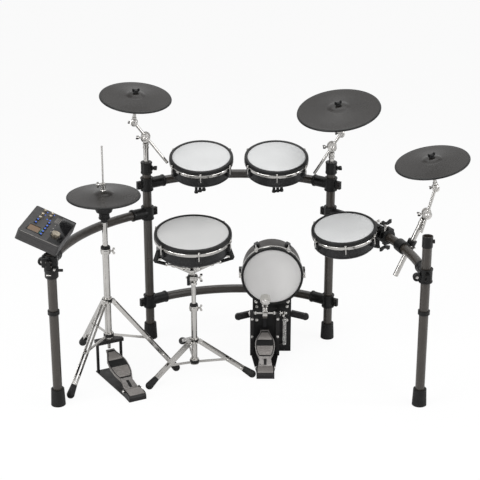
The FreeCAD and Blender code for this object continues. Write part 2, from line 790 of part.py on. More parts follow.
def leg(axis, turn, spread, collar_z, hub_z):
    """One tripod leg: two flat strips with a rubber boot, and the brace pinned between them."""
    out = polar(1, turn)
    side = V(-out.y, out.x, 0)
    top = axis + out * leg_root_r + Z_AXIS * collar_z
    foot = axis + out * spread + Z_AXIS * boot_rise
    along = unit(foot - top)
    end = foot - along * boot_len
    half = leg_gap / 2 + leg_strip_t / 2
    width = leg_gap + leg_strip_t
    strips = [strip(top + side * aside, end + side * aside, leg_strip_t, leg_strip_h)
              for aside in (-half, half)]
    root = strip(top - along * leg_strip_t, top + along * leg_strip_h, width, leg_strip_h)
    tip = strip(end - along * leg_strip_h, end + along * leg_tip_reach, width, leg_tip_h)
    joint = top + (foot - top) * brace_at
    pin = rod(joint - side * half, joint + side * half, leg_pin_r)
    hub = axis + out * leg_root_r + Z_AXIS * hub_z
    past = unit(joint - hub) * brace_h
    brace = strip(hub, joint + past, brace_t, brace_h)
    brace = brace.cut(rod(joint - side * half, joint + side * half, leg_pin_r + pin_fit))
    floor = Part.makeBox(spread * 3, spread * 3, spread, axis - V(spread * 1.5, spread * 1.5, spread))
    boot = fused([cone(end, foot, boot_top_r, boot_sole_r), Part.makeSphere(boot_sole_r, foot)]).cut(floor)
    frame = fused(strips + [root, tip, pin])
    return {"frame": frame, "brace": brace, "rubber": boot.cut(frame)}


def tripod(axis, first_turn, spread, collar_z, hub_z, tube_outer):
    """Three legs with their collar and the hub of their braces; returns metal and rubber solids."""
    legs = [leg(axis, first_turn + step * 120, spread, collar_z, hub_z) for step in range(3)]
    metal = [piece["frame"] for piece in legs] + [piece["brace"] for piece in legs]
    rings = []
    for z in (collar_z, hub_z):
        base = axis + Z_AXIS * (z - collar_h / 2)
        ring = rod(base, base + Z_AXIS * collar_h, tube_outer + collar_wall)
        ring = ring.cut(rod(base - Z_AXIS, base + Z_AXIS * (collar_h + 1), tube_outer + slide_fit))
        for piece in metal:
            ring = ring.cut(piece)
        rings.append(ring)
    room = rod(axis, axis + Z_AXIS * (collar_z * 2), tube_outer + slide_fit)
    return [piece.cut(room) for piece in metal] + rings, [piece["rubber"] for piece in legs]


def build_snare():
    head = V(snare_axis.x, snare_axis.y, snare_head_z)
    shell_r = snare_rim_d / 2 - hoop_band
    drum_set(snare_rim_d, snare_depth, drum_shell(shell_r, snare_depth, snare_lug_turn), head, X_AXIS,
             snare_tilt, "snare")
    tilter = snare_axis + Z_AXIS * snare_tilter_z
    tube_r_out = snare_tube_d / 2
    upper_r = snare_upper_d / 2
    base = pipe(snare_axis + Z_AXIS * snare_tube_foot, snare_axis + Z_AXIS * snare_tube_top,
                tube_r_out, upper_r + slide_fit)
    sleeve_base = snare_axis + Z_AXIS * (snare_tube_top - collar_h)
    collar = pipe(sleeve_base, sleeve_base + Z_AXIS * collar_h, tube_r_out + collar_wall,
                  tube_r_out + seat_gap / 2)
    nodes["snare_stand_tube"] = group([base, collar])
    metal, rubber = tripod(snare_axis, snare_leg_turn, snare_leg_spread, snare_collar_z, snare_hub_z,
                           tube_r_out)
    nodes["snare_stand_legs"] = group(metal)
    add_to("rubber_feet", rubber)
    clear = rod(tilter - X_AXIS * (seat_gap / 2), tilter - X_AXIS * ratchet_r * 2, ratchet_r * 2)
    post = rod(snare_axis + Z_AXIS * (snare_tube_foot + collar_h), tilter, upper_r).cut(clear)
    nodes["snare_upper_tube"] = fused([post] + fixed_disc(tilter, X_AXIS))
    nodes["snare_basket"] = basket(head, tilter, shell_r)


def basket(head, tilter, shell_r):
    """Tilting basket: hub on the tilter and three arms whose grips hold the shell's lower edge."""
    lean = unit(snare_tilt)
    hub = tilter - X_AXIS * (ratchet_t / 2)
    crotch = hub + Z_AXIS * ratchet_r * 2
    arms = [moving_disc(tilter, X_AXIS, ratchet_t), rod(hub, crotch, basket_neck_r),
            Part.makeSphere(basket_neck_r, crotch)]
    for turn in basket_turns:
        grip_in = shell_r + seat_gap
        knee = polar(grip_in + basket_grip_out, turn, -snare_depth - basket_grip_lip)
        tip = polar(grip_in + basket_grip_t / 2, turn, -basket_grip_top)
        ledge = Part.makeBox(basket_grip_lip + basket_grip_out, basket_grip_w, basket_grip_t,
                             V(grip_in - basket_grip_lip, -basket_grip_w / 2,
                               -snare_depth - basket_grip_t - seat_gap))
        ledge.Placement = FreeCAD.Placement(V(0, 0, 0), FreeCAD.Rotation(Z_AXIS, turn))
        for piece in (strip(knee, tip, basket_grip_w, basket_grip_t), ledge):
            arms.append(placed(piece, head, X_AXIS, lean))
        arms.append(rod(crotch, point_in(head, X_AXIS, snare_tilt, knee), basket_rod_r))
    room = rod(tilter, tilter - X_AXIS * (hinge_pin_reach + seat_gap), hinge_pin_r + pin_fit)
    return fused(arms).cut(room)


def heel_plate():
    """Heel block of a pedal with its sloping top and the strap slot, along local X."""
    side = Part.Face(Part.makePolygon([V(0, 0, 0), V(heel_len, 0, 0), V(heel_len, 0, heel_h - board_t),
                                       V(heel_ridge_x, 0, heel_h), V(heel_brow_x, 0, heel_brow_h),
                                       V(0, 0, heel_nose_h), V(0, 0, 0)]))
    body = side.extrude(V(0, heel_w, 0))
    body.translate(V(0, -heel_w / 2, 0))
    inner = Part.makeBox(heel_len, heel_w - 2 * heel_wall, heel_h - board_t * 2,
                         V(base_t, heel_wall - heel_w / 2, base_t))
    return body.cut(inner)


def foot_board(length, rise):
    """Footboard outline with its waist, along local X from its hinge at the heel."""
    root = heel_w / 2 * board_root_share
    barrel_r = board_pin_r + barrel_wall
    outline = [V(0, -root, 0)] + [V(length * share, -width / 2, 0) for share, width in board_outline]
    mirrored = [V(p.x, -p.y, 0) for p in reversed(outline)]
    plate = Part.Face(Part.makePolygon(outline + mirrored + [outline[0]])).extrude(V(0, 0, board_t))
    plate.translate(V(barrel_r, 0, -board_t))
    left_end = V(0, -root, -board_t / 2)
    right_end = V(0, root, -board_t / 2)
    neck = Part.makeBox(board_pin_r + barrel_r, root * 2, board_t, V(0, -root, -board_t))
    neck = neck.cut(rod(left_end, right_end, board_pin_r))
    body = fused([plate, rod(left_end, right_end, barrel_r), neck])
    body = body.cut(rod(left_end - Y_AXIS, right_end + Y_AXIS, board_pin_r + pin_fit))
    body.translate(V(0, 0, board_t / 2))
    body.rotate(V(0, 0, 0), Y_AXIS, -math.degrees(math.atan(rise)))
    return body


def heel_hinge():
    """Pin and two ears behind a heel plate, for the footboard."""
    pin_at = hinge_spot()
    half = heel_w / 2
    pin = rod(V(pin_at.x, -half, pin_at.z), V(pin_at.x, half, pin_at.z), board_pin_r)
    ears = [Part.makeBox(hinge_ear_len, hinge_ear_w, heel_h - base_t, V(heel_len, low, base_t))
            for low in (-half, half - hinge_ear_w)]
    return [pin] + ears


def hinge_spot():
    return V(heel_len + hinge_back, 0, heel_h - hinge_drop)


def pedal_base(length, rear_w):
    """Floor plate under a pedal from the heel to its uprights."""
    half = base_w / 2
    face = Part.Face(Part.makePolygon([V(0, -half, 0), V(heel_len, -half, 0), V(length, -rear_w / 2, 0),
                                       V(length, rear_w / 2, 0), V(heel_len, half, 0), V(0, half, 0),
                                       V(0, -half, 0)]))
    return face.extrude(V(0, 0, base_t))


def build_hihat():
    axis = hihat_axis
    lower_r = hihat_tube_d / 2
    upper_r = hihat_upper_d / 2
    tube = pipe(axis + Z_AXIS * hihat_tube_foot, axis + Z_AXIS * hihat_tube_top, lower_r,
                upper_r + slide_fit)
    nodes["hihat_upper_tube"] = pipe(axis + Z_AXIS * (hihat_tube_top - boom_depth),
                                     axis + Z_AXIS * controller_foot, upper_r, upper_r - tube_wall)
    sleeve_base = axis + Z_AXIS * (hihat_tube_top - collar_h)
    collar = pipe(sleeve_base, sleeve_base + Z_AXIS * collar_h, lower_r + collar_wall,
                  lower_r + seat_gap / 2)
    nodes["hihat_stand_tube"] = group([tube, collar])
    metal, rubber = tripod(axis, hihat_leg_turn, hihat_leg_spread, hihat_collar_z, hihat_hub_z, lower_r)
    nodes["hihat_stand_legs"] = group(metal)
    add_to("rubber_feet", rubber)
    height = controller_top - controller_foot
    bore_r = pull_rod_r + rod_room
    controller = turned([(bore_r, 0)] + [(controller_r * out, height * up) for out, up in controller_curve]
                        + [(bore_r, height)])
    controller.translate(axis + Z_AXIS * controller_foot)
    nodes["hihat_controller"] = controller
    cymbal_at = axis + Z_AXIS * hihat_cymbal_z
    nodes["hihat_cymbal"] = placed(cymbal_pad(hihat_d), cymbal_at, X_AXIS, Z_AXIS)
    build_pull_rod(cymbal_at)
    build_hihat_pedal()


def hihat_toe():
    """Distance from the heel to the stand's axis, and the pedal's direction."""
    reach = V(hihat_axis.x - hihat_pedal_heel.x, hihat_axis.y - hihat_pedal_heel.y, 0)
    return reach.Length, unit(reach)


def board_top(rise, x):
    """Height of a footboard's upper side at a distance from the heel's front edge."""
    pin_at = hinge_spot()
    angle = math.atan(rise)
    return pin_at.z + (x - pin_at.x) * rise + board_t / 2 / math.cos(angle)


def build_pull_rod(cymbal_at):
    """Pull rod with the clutch that grips the cymbal, and the link down to the footboard."""
    axis = hihat_axis
    toe, _ = hihat_toe()
    foot = axis + Z_AXIS * (board_top(hihat_board_rise, toe) + seat_gap)
    shaft = rod(foot, axis + Z_AXIS * pull_rod_top, pull_rod_r)
    felt = rod(cymbal_at - Z_AXIS * clutch_felt_h, cymbal_at - Z_AXIS * (2 * seat_gap), clutch_felt_r)
    crown = cymbal_at + Z_AXIS * cymbal_crown
    grip = rod(crown + Z_AXIS * seat_gap, crown + Z_AXIS * clutch_h, clutch_r)
    screw_at = crown + Z_AXIS * clutch_screw_z
    screw_end = screw_at - X_AXIS * (clutch_r + clutch_screw)
    screw = rod(screw_at, screw_end, stem_r)
    wing = rod(screw_end - Y_AXIS * clutch_wing_half, screw_end + Y_AXIS * clutch_wing_half, stem_r)
    link = rod(foot, foot + Z_AXIS * collar_h, link_r)
    nodes["hihat_pull_rod"] = fused([shaft, felt, grip, screw, wing, link])


def build_hihat_pedal():
    toe, along = hihat_toe()
    rear_w = hihat_upright_half * 2 + hihat_upright_r * 2
    uprights = [rod(V(toe, side * hihat_upright_half, base_t), V(toe, side * hihat_upright_half,
                                                                hihat_tube_foot), hihat_upright_r)
                for side in (-1, 1)]
    bridge = Part.makeBox(hihat_tube_d + collar_wall * 2, rear_w, hihat_bridge_h,
                          V(toe - hihat_tube_d / 2 - collar_wall, -rear_w / 2,
                            hihat_tube_foot - hihat_bridge_h))
    bridge = bridge.cut(rod(V(toe, 0, 0), V(toe, 0, hihat_tube_foot * 2), link_r + link_room))
    base = pedal_base(toe + hihat_upright_r * 2, rear_w)
    frame = fused([base, heel_plate()] + heel_hinge() + uprights + [bridge])
    board = foot_board(toe - hinge_spot().x, hihat_board_rise)
    board.translate(hinge_spot())
    nodes["hihat_pedal_frame"] = placed(frame, hihat_pedal_heel, along, Z_AXIS)
    nodes["hihat_footboard"] = placed(board, hihat_pedal_heel, along, Z_AXIS)


def build_kick_tower():
    """Kick pad on its upright plate, with the base and the two side spurs."""
    rim_r = kick_rim_d / 2
    centre = V(kick_x, kick_face_y, kick_z)
    shell_r = rim_r - kick_shell_step
    plate = Part.makeBox(tower_w, tower_t, kick_z, V(kick_x - tower_w / 2, kick_face_y + kick_rim_t, 0))
    base = Part.makeBox(tower_w, tower_base_len, tower_t,
                        V(kick_x - tower_w / 2, kick_face_y + kick_rim_t, 0))
    back = centre + Y_AXIS * kick_rim_t
    shell_end = back + Y_AXIS * kick_shell_len
    shell = rod(back, shell_end, shell_r).cut(rod(back - Y_AXIS, shell_end - Y_AXIS * shell_wall,
                                                  shell_r - shell_wall))
    body = fused([plate, base]).cut(rod(back - Y_AXIS, shell_end, shell_r + seat_gap))
    spurs = []
    for side in (-1, 1):
        start = V(kick_x + side * tower_w / 2, kick_face_y + kick_rim_t + tower_t / 2, spur_z)
        tip = start + V(side * spur_len, -spur_h / 2, -spur_h / 3)
        end = rod(tip - Y_AXIS * (spur_t / 2), tip + Y_AXIS * (spur_t / 2), spur_h / 2)
        spurs.append(fused([strip(start, tip, spur_t, spur_h), end]).cut(plate))
    ring = pipe(centre, back, rim_r, rim_r - kick_rim_band)
    flange = pipe(back - Y_AXIS * kick_flange_t, back, rim_r - kick_rim_band / 2, rim_r - kick_flange_w)
    nodes["kick_hoop"] = fused([ring, flange])
    face = centre + Y_AXIS * kick_head_inset
    nodes["kick_head"] = rod(face, face + Y_AXIS * kick_head_t, rim_r - kick_rim_band - seat_gap)
    foam_back = shell_end - Y_AXIS * shell_wall
    foam_front = face + Y_AXIS * (kick_head_t + seat_gap)
    foam = cone(foam_back, foam_front, sensor_r * 2, sensor_r)
    nodes["kick_tower"] = group([body, shell, foam] + spurs)


def least_gap(path):
    """Least room between the turns of a coil, measured on points along its middle line."""
    points = path.discretize(Number=spring_turns * points_per_turn)
    reach = points_per_turn // 2
    nearest = min((points[i] - points[j]).Length for i in range(len(points))
                  for j in range(i + reach, len(points)))
    return nearest - 2 * spring_wire_r


def spring_lead(start, tangent, upward):
    """Bend from a coil's end to the upright, and the straight end after it."""
    square = unit(upward - tangent * upward.dot(tangent))
    angle = tangent.getAngle(upward)
    centre = start + square * spring_bend_r

    def on_bend(turn):
        return centre + tangent * (spring_bend_r * math.sin(turn)) - square * (spring_bend_r * math.cos(turn))

    end = on_bend(angle)
    bend = Part.Arc(start, on_bend(angle / 2), end).toShape()
    return bend, end


def spring_wire(hook, low, high):
    """Pull spring as one unbroken helix in half-turn arcs, its ends bent upright to their anchors."""
    straight = 2 * spring_wire_r
    coil_low = low + straight + spring_bend_r
    coil_high = high - straight - spring_bend_r
    rise = (coil_high - coil_low) / (spring_turns * 4)
    axis = hook - V(spring_coil_r, spring_bend_r, 0)
    points = [axis + polar(spring_coil_r, step * 90, coil_low + step * rise)
              for step in range(spring_turns * 4 + 1)]
    arcs = [Part.Arc(points[i], points[i + 1], points[i + 2]).toShape()
            for i in range(0, len(points) - 2, 2)]
    first_way = arcs[0].tangentAt(arcs[0].FirstParameter)
    last_way = arcs[-1].tangentAt(arcs[-1].LastParameter)
    lower_bend, lower_end = spring_lead(points[0], first_way * -1, Z_AXIS * -1)
    upper_bend, upper_end = spring_lead(points[-1], last_way, Z_AXIS)
    foot = V(lower_end.x, lower_end.y, low)
    head = V(upper_end.x, upper_end.y, high)
    path = Part.Wire(Part.__sortEdges__([Part.LineSegment(foot, lower_end).toShape(), lower_bend] + arcs
                                        + [upper_bend, Part.LineSegment(upper_end, head).toShape()]))
    print("kick spring least gap to itself: %.2f mm" % least_gap(path))
    ring = Part.Wire(Part.Circle(foot, Z_AXIS, spring_wire_r).toShape())
    return path.makePipeShell([ring], True, False)


def build_kick_pedal():
    heel = kick_pedal_heel
    along = Y_AXIS
    axle_x = kick_pedal_len
    rear_w = kick_upright_half * 2 + kick_upright_w
    uprights = [Part.makeBox(kick_upright_d, kick_upright_w, kick_axle_z + kick_upright_d / 2 - base_t,
                             V(axle_x - kick_upright_d / 2, side * kick_upright_half - kick_upright_w / 2,
                               base_t))
                for side in (-1, 1)]
    base_len = kick_face_y + kick_rim_t - heel.y
    frame = fused([pedal_base(base_len, rear_w), heel_plate()] + heel_hinge() + uprights)
    spring_y = -kick_upright_half - kick_upright_w / 2 - spring_coil_r * 2
    anchor_low = spring_foot_z - spring_coil_r
    anchor = Part.makeBox(kick_upright_d, spring_coil_r * 4, spring_coil_r,
                          V(axle_x - kick_upright_d / 2, spring_y - spring_coil_r * 2, anchor_low))
    frame = fused([frame, anchor]).cut(rod(V(axle_x, -rear_w, kick_axle_z), V(axle_x, rear_w, kick_axle_z),
                                           kick_axle_r + pin_fit))
    nodes["kick_pedal_frame"] = placed(frame, heel, along, Z_AXIS)
    strap_x = axle_x + cam_r + seat_gap
    board_len = strap_x + strap_t + kick_toe_over - hinge_spot().x
    board = foot_board(board_len, kick_board_rise)
    board.translate(hinge_spot())
    nodes["kick_footboard"] = placed(board, heel, along, Z_AXIS)
    axle_half = kick_upright_half + kick_upright_w + spring_coil_r * 3
    axle = rod(V(axle_x, -axle_half, kick_axle_z), V(axle_x, kick_upright_half + kick_upright_w, kick_axle_z),
               kick_axle_r)
    cam = rod(V(axle_x, -cam_w / 2, kick_axle_z), V(axle_x, cam_w / 2, kick_axle_z), cam_r)
    lean = math.radians(beater_lean)
    tip = V(axle_x - beater_reach * math.sin(lean), 0, kick_axle_z + beater_reach * math.cos(lean))
    shaft = rod(V(axle_x, 0, kick_axle_z), tip, beater_shaft_r)
    rocker_end = V(axle_x - rocker_reach, spring_y, kick_axle_z)
    rocker = rod(V(axle_x, spring_y, kick_axle_z), rocker_end, kick_axle_r)
    nodes["kick_axle"] = placed(fused([axle, cam, shaft, rocker]), heel, along, Z_AXIS)
    strike = V(math.cos(lean), 0, math.sin(lean))
    beater = rod(tip - strike * (beater_len / 2), tip + strike * (beater_len / 2), beater_r)
    beater = beater.cut(rod(V(axle_x, 0, kick_axle_z), tip, beater_shaft_r))
    nodes["kick_beater"] = placed(beater, heel, along, Z_AXIS)
    strap_low = board_top(kick_board_rise, strap_x + strap_t) + seat_gap
    strap = Part.makeBox(strap_t, strap_w, kick_axle_z - strap_low, V(strap_x, -strap_w / 2, strap_low))
    nodes["kick_drive_strap"] = placed(strap, heel, along, Z_AXIS)
    hook = V(rocker_end.x + kick_axle_r, spring_y, 0)
    spring_top_z = kick_axle_z - kick_axle_r - seat_gap
    nodes["kick_spring"] = placed(spring_wire(hook, spring_foot_z + seat_gap, spring_top_z),
                                  heel, along, Z_AXIS)


def module_normal():
    slope = math.radians(module_slope)
    down = V(-module_long.y, module_long.x, 0)
    return unit(Z_AXIS * math.cos(slope) + down * math.sin(slope))


def turning_knob(spot, radius, height, shaft_r):
    """Round knob just over the case, with its shaft."""
    cap = rod(spot + Z_AXIS * seat_gap, spot + Z_AXIS * height, radius)
    return fused([cap, rod(spot - Z_AXIS * shaft_depth, spot + Z_AXIS * (height / 2), shaft_r)])


def key_and_opening(spot):
    """One key of the module and the opening in the case that it travels in."""
    key = block(button_w, button_d, button_travel + seat_gap - button_depth, button_rise)
    opening = block(button_w + 2 * button_room, button_d + 2 * button_room, -button_depth, button_rise)
    for shape in (key, opening):
        shape.translate(spot)
    return key, opening


def module_case():
    """Hollow case with the display's recess and the holes of its keys, knobs and dial."""
    case = block(module_w, module_d, -module_h, 0)
    case = case.makeFillet(module_corner, [e for e in case.Edges if abs(e.tangentAt(0).z) > 0.9])
    inside = block(module_w - 2 * case_wall, module_d - 2 * case_wall, case_wall - module_h, -case_wall)
    window = block(display_w, display_d, -display_recess, display_recess)
    window.translate(display_spot)
    cuts = [inside, window, shaft_hole(dial_spot, dial_shaft_r)]
    cuts += [shaft_hole(spot, small_knob_shaft_r) for spot in small_knob_spots]
    cuts += [key_and_opening(spot)[1] for spot in button_spots]
    for cut in cuts:
        case = case.cut(cut)
    return case


def shaft_hole(spot, radius):
    return rod(spot - Z_AXIS * module_h / 2, spot + Z_AXIS, radius + pin_fit)


def build_module():
    """Sound module: case with display, turning dial and knobs, keys and the tilting bracket."""
    normal = module_normal()
    case = module_case()
    keys = [key_and_opening(spot)[0] for spot in button_spots]
    pin_z = -module_h - bracket_drop
    eyes = []
    for side in (-1, 1):
        eyes.append(rod(V(side * bracket_eye_in, 0, pin_z), V(side * bracket_half, 0, pin_z), bracket_eye_r))
        web = Part.makeBox(bracket_half - bracket_eye_in, bracket_eye_r * 2, bracket_drop + case_wall / 2,
                           V(-bracket_half if side < 0 else bracket_eye_in, -bracket_eye_r, pin_z))
        eyes.append(web)
    pin_room = rod(V(-module_w, 0, pin_z), V(module_w, 0, pin_z), bracket_pin_r + pin_fit)
    case = fused([case] + eyes).cut(pin_room)
    dial = turning_knob(dial_spot, dial_r, dial_h, dial_shaft_r)
    knobs = [turning_knob(spot, small_knob_r, small_knob_h, small_knob_shaft_r) for spot in small_knob_spots]
    glass = block(display_w - 2 * display_room, display_d - 2 * display_room, -display_recess,
                  -display_recess / 3)
    glass.translate(display_spot)
    circuit = block(module_w - 4 * module_corner, module_d - 4 * module_corner, case_wall - module_h,
                    case_wall - module_h + circuit_t)
    for name, shape in (("module_case", group([case, circuit])), ("module_dial", dial),
                        ("module_knobs", group(knobs)), ("module_keys", group(keys)),
                        ("module_display", glass)):
        nodes[name] = placed(shape, module_centre, module_long, normal)
    pin_centre = point_in(module_centre, module_long, normal, V(0, 0, pin_z))
    along = unit(module_long)
    pin = rod(pin_centre - along * bracket_half, pin_centre + along * bracket_half, bracket_pin_r)
    post_top = V(-front_post_x, 0, front_left_top)
    plug = rod(post_top - Z_AXIS * clamp_height, post_top, tube_r - tube_wall - slide_fit)
    level = post_top.z + bracket_rod_r + bracket_rise
    stub_top = V(post_top.x, post_top.y, level)
    knee = V(pin_centre.x, pin_centre.y, level)
    runs = [rod(post_top, stub_top, bracket_rod_r), rod(stub_top, knee, bracket_rod_r),
            rod(knee, pin_centre, bracket_rod_r)]
    bends = [Part.makeSphere(bracket_rod_r, spot) for spot in (stub_top, knee)]
    add_to("left_wing_clamps", [fused([pin, plug] + runs + bends)])


def build_all():
    bars = build_rack()
    build_toms(bars)
    build_booms()
    build_right_boom_clamp(bars)
    build_snare()
    build_hihat()
    build_kick_tower()
    build_kick_pedal()
    build_module()


def frame_shift():
    """Move that sets the origin under the middle of the kit's box, on the floor."""
    boxes = [shape.optimalBoundingBox(False) for shape in nodes.values()]
    low_x = min(box.XMin for box in boxes)
    high_x = max(box.XMax for box in boxes)
    low_y = min(box.YMin for box in boxes)
    high_y = max(box.YMax for box in boxes)
    return V(-(low_x + high_x) / 2, -(low_y + high_y) / 2, 0)


build_all()
shift = frame_shift()
os.makedirs("parts", exist_ok=True)
for node_name, node_shape in nodes.items():
    node_shape.translate(shift)
    node_shape.exportStep("parts/%s.step" % node_name)
print("%d nodes, origin shift %.3f %.3f" % (len(nodes), shift.x, shift.y))
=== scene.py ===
"""Looks of an electronic drum kit: its finishes, its small hardware, the studio and the camera."""
import bpy
import bmesh
import json
import math
from mathutils import Matrix, Vector


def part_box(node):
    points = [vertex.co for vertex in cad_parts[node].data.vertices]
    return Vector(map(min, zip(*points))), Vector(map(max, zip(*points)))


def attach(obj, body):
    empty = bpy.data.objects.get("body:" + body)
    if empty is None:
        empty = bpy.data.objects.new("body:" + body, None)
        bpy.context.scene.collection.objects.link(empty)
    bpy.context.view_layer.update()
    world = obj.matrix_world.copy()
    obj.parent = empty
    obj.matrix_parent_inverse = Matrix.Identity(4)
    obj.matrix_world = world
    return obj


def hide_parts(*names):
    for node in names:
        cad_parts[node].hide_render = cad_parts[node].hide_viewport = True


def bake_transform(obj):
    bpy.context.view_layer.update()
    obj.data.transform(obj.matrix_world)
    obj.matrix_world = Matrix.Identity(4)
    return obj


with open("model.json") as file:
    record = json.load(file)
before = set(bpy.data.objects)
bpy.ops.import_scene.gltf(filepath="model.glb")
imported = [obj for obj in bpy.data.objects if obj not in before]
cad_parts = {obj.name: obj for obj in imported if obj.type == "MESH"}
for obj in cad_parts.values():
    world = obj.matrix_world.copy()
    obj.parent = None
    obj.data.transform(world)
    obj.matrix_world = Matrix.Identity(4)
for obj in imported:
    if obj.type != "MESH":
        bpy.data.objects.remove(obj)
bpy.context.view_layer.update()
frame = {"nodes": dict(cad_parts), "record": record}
nodes = frame["nodes"]

left_post_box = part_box("front_left_post")
right_post_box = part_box("front_right_post")
plan_origin = (left_post_box[0] + left_post_box[1] + right_post_box[0] + right_post_box[1]) / 4
FRONT_POST_X = 739
REAR_POST_X = 397
RACK_DEPTH = 630
TUBE_R = 19.05
REAR_CLAMP_TURN = 33.5
WING_CLAMP_TURN = 22.1
TOM_RIM_R = 136
SNARE_RIM_R = 161
HOOP_BAND = 9
LUG_COUNT = 6
SNARE_AT = (-190, 314, 630)
HIHAT_AXIS = (-553, 303)
KICK_AT = (144, 462, 368)
KICK_HEEL = (113, 222)
HIHAT_HEEL = (-415, 28)
MODULE_AT = (-755, 77, 754)
UP = Vector((0, 0, 1))
ALONG_X = Vector((1, 0, 0))
ALONG_Y = Vector((0, 1, 0))


def spot(x, y, z):
    return Vector((plan_origin.x + x / 1000, plan_origin.y + y / 1000, z / 1000))


def seat(origin, x_dir, z_dir):
    """Frame at an origin with its Z along z_dir and its X as near x_dir as that allows."""
    z_unit = Vector(z_dir).normalized()
    y_unit = z_unit.cross(Vector(x_dir)).normalized()
    x_unit = y_unit.cross(z_unit)
    turn = Matrix((x_unit, y_unit, z_unit)).transposed().to_4x4()
    return Matrix.Translation(origin) @ turn


def polar(radius, degrees):
    angle = math.radians(degrees)
    return Vector((radius * math.cos(angle), radius * math.sin(angle), 0))


def turn_z(degrees):
    return Matrix.Rotation(math.radians(degrees), 4, "Z")


def shift(x, y, z):
    return Matrix.Translation((x, y, z))


HERE = Matrix.Identity(4)
PLAN = seat(spot(0, 0, 0), ALONG_X, UP)
TO_RIGHT = Matrix.Rotation(math.radians(90), 4, "Y")
TO_LEFT = Matrix.Rotation(math.radians(-90), 4, "Y")
TO_FRONT = Matrix.Rotation(math.radians(90), 4, "X")


def to_side(side):
    """Turn of local Z to the side of +Y or of -Y."""
    return Matrix.Rotation(math.radians(-90 * side), 4, "X")


# Finishes

DULL = 0.22   # specular level of the black paints, plastics and rubbers, below the usual 0.5
GRAIN_DEPTH = 0.0006   # metres
RIDGE_DEPTH = 0.0004   # metres, of turned rings and woven threads
WAVE_LENGTH = 2 * math.pi / 20   # metres from wave to wave in a wave texture at scale 1


def hex_linear(code):
    """sRGB hex to linear RGBA."""
    values = [int(code[i:i + 2], 16) / 255 for i in (0, 2, 4)]
    return [v / 12.92 if v <= 0.04045 else ((v + 0.055) / 1.055) ** 2.4 for v in values] + [1.0]


def add(tree, kind, settings=None, values=None, links=None):
    """New shader node with its settings, input values and links."""
    made = tree.nodes.new("ShaderNode" + kind)
    for name, value in (settings or {}).items():
        setattr(made, name, value)
    for name, value in (values or {}).items():
        made.inputs[name].default_value = value
    for name, socket in (links or {}).items():
        tree.links.new(socket, made.inputs[name])
    return made


def surface(name, values):
    """Material with its shader's uniform values set; returns material, tree and shader."""
    material = bpy.data.materials.new(name)
    material.use_nodes = True
    tree = material.node_tree
    shader = tree.nodes["Principled BSDF"]
    for socket, value in values.items():
        shader.inputs[socket].default_value = value
    return material, tree, shader


def per_mm(size_mm):
    """Texture scale, per metre, of a pattern that repeats at a size in millimetres."""
    return 1000 / size_mm


def mottle(tree, shader, colours, cloud_mm, rough, grain_mm, bump):
    """Slow colour and roughness change over the surface, with a fine grain as bump."""
    place = add(tree, "TexCoord")
    cloud = add(tree, "TexNoise", values={"Scale": per_mm(cloud_mm), "Detail": 3.0},
                links={"Vector": place.outputs["Object"]})
    colour = add(tree, "MixRGB", links={"Fac": cloud.outputs["Fac"]},
                 values={"Color1": hex_linear(colours[0]), "Color2": hex_linear(colours[1])})
    dulled = add(tree, "MapRange", links={"Value": cloud.outputs["Fac"]},
                 values={"From Min": 0.3, "From Max": 0.7, "To Min": rough[0], "To Max": rough[1]})
    grain = add(tree, "TexNoise", values={"Scale": per_mm(grain_mm), "Detail": 2.0},
                links={"Vector": place.outputs["Object"]})
    relief = add(tree, "Bump", values={"Strength": bump, "Distance": GRAIN_DEPTH},
                 links={"Height": grain.outputs["Fac"]})
    tree.links.new(colour.outputs["Color"], shader.inputs["Base Color"])
    tree.links.new(dulled.outputs["Result"], shader.inputs["Roughness"])
    tree.links.new(relief.outputs["Normal"], shader.inputs["Normal"])
    return place, colour


def mottled(name, values, **look):
    """Material whose colour, roughness and grain all come from a mottle."""
    material, tree, shader = surface(name, values)
    mottle(tree, shader, **look)
    return material


def powder_coat():
    # Powder-coated steel tube: satin black-grey with a faint orange-peel grain
    return mottled("powder_coated_steel", {"IOR": 1.5},
                   colours=("38332e", "2a2622"), cloud_mm=90, rough=(0.26, 0.36), grain_mm=2.0, bump=0.08)


def moulded_black():
    # Glass-filled nylon, moulded: dull black with a fine spark-eroded grain
    return mottled("moulded_black_nylon", {"IOR": 1.53, "Specular IOR Level": DULL},
                   colours=("0f0f0f", "080808"), cloud_mm=25, rough=(0.34, 0.48), grain_mm=1.6, bump=0.25)


def black_rubber():
    # Moulded rubber: deep matt black, slightly dusty
    return mottled("moulded_black_rubber", {"IOR": 1.52, "Specular IOR Level": DULL},
                   colours=("131313", "0b0b0b"), cloud_mm=18, rough=(0.5, 0.68), grain_mm=1.8, bump=0.3)


def rim_rubber():
    # Smooth extruded rubber on a hoop: black with a soft gloss
    return mottled("extruded_rim_rubber", {"IOR": 1.52, "Specular IOR Level": DULL},
                   colours=("121212", "0b0b0b"), cloud_mm=40, rough=(0.34, 0.46), grain_mm=3.0, bump=0.1)


def chrome():
    # Chrome plate on polished steel: bright, with clear reflections and light wipe marks
    return mottled("polished_chrome", {"Metallic": 1.0},
                   colours=("bdbbb8", "a09e9b"), cloud_mm=60, rough=(0.12, 0.2), grain_mm=30.0, bump=0.004)


def satin_chrome():
    # Chrome over a ground face: brighter and softer than the polished plate
    return mottled("satin_chrome", {"Metallic": 1.0},
                   colours=("cbc9c6", "b3b1ae"), cloud_mm=12, rough=(0.2, 0.32), grain_mm=1.5, bump=0.06)


def black_oxide():
    # Black-oxide steel bolts: dark metal with a soft grey shine
    return mottled("black_oxide_steel", {"Metallic": 1.0},
                   colours=("43403e", "2e2c2b"), cloud_mm=10, rough=(0.3, 0.42), grain_mm=1.5, bump=0.06)


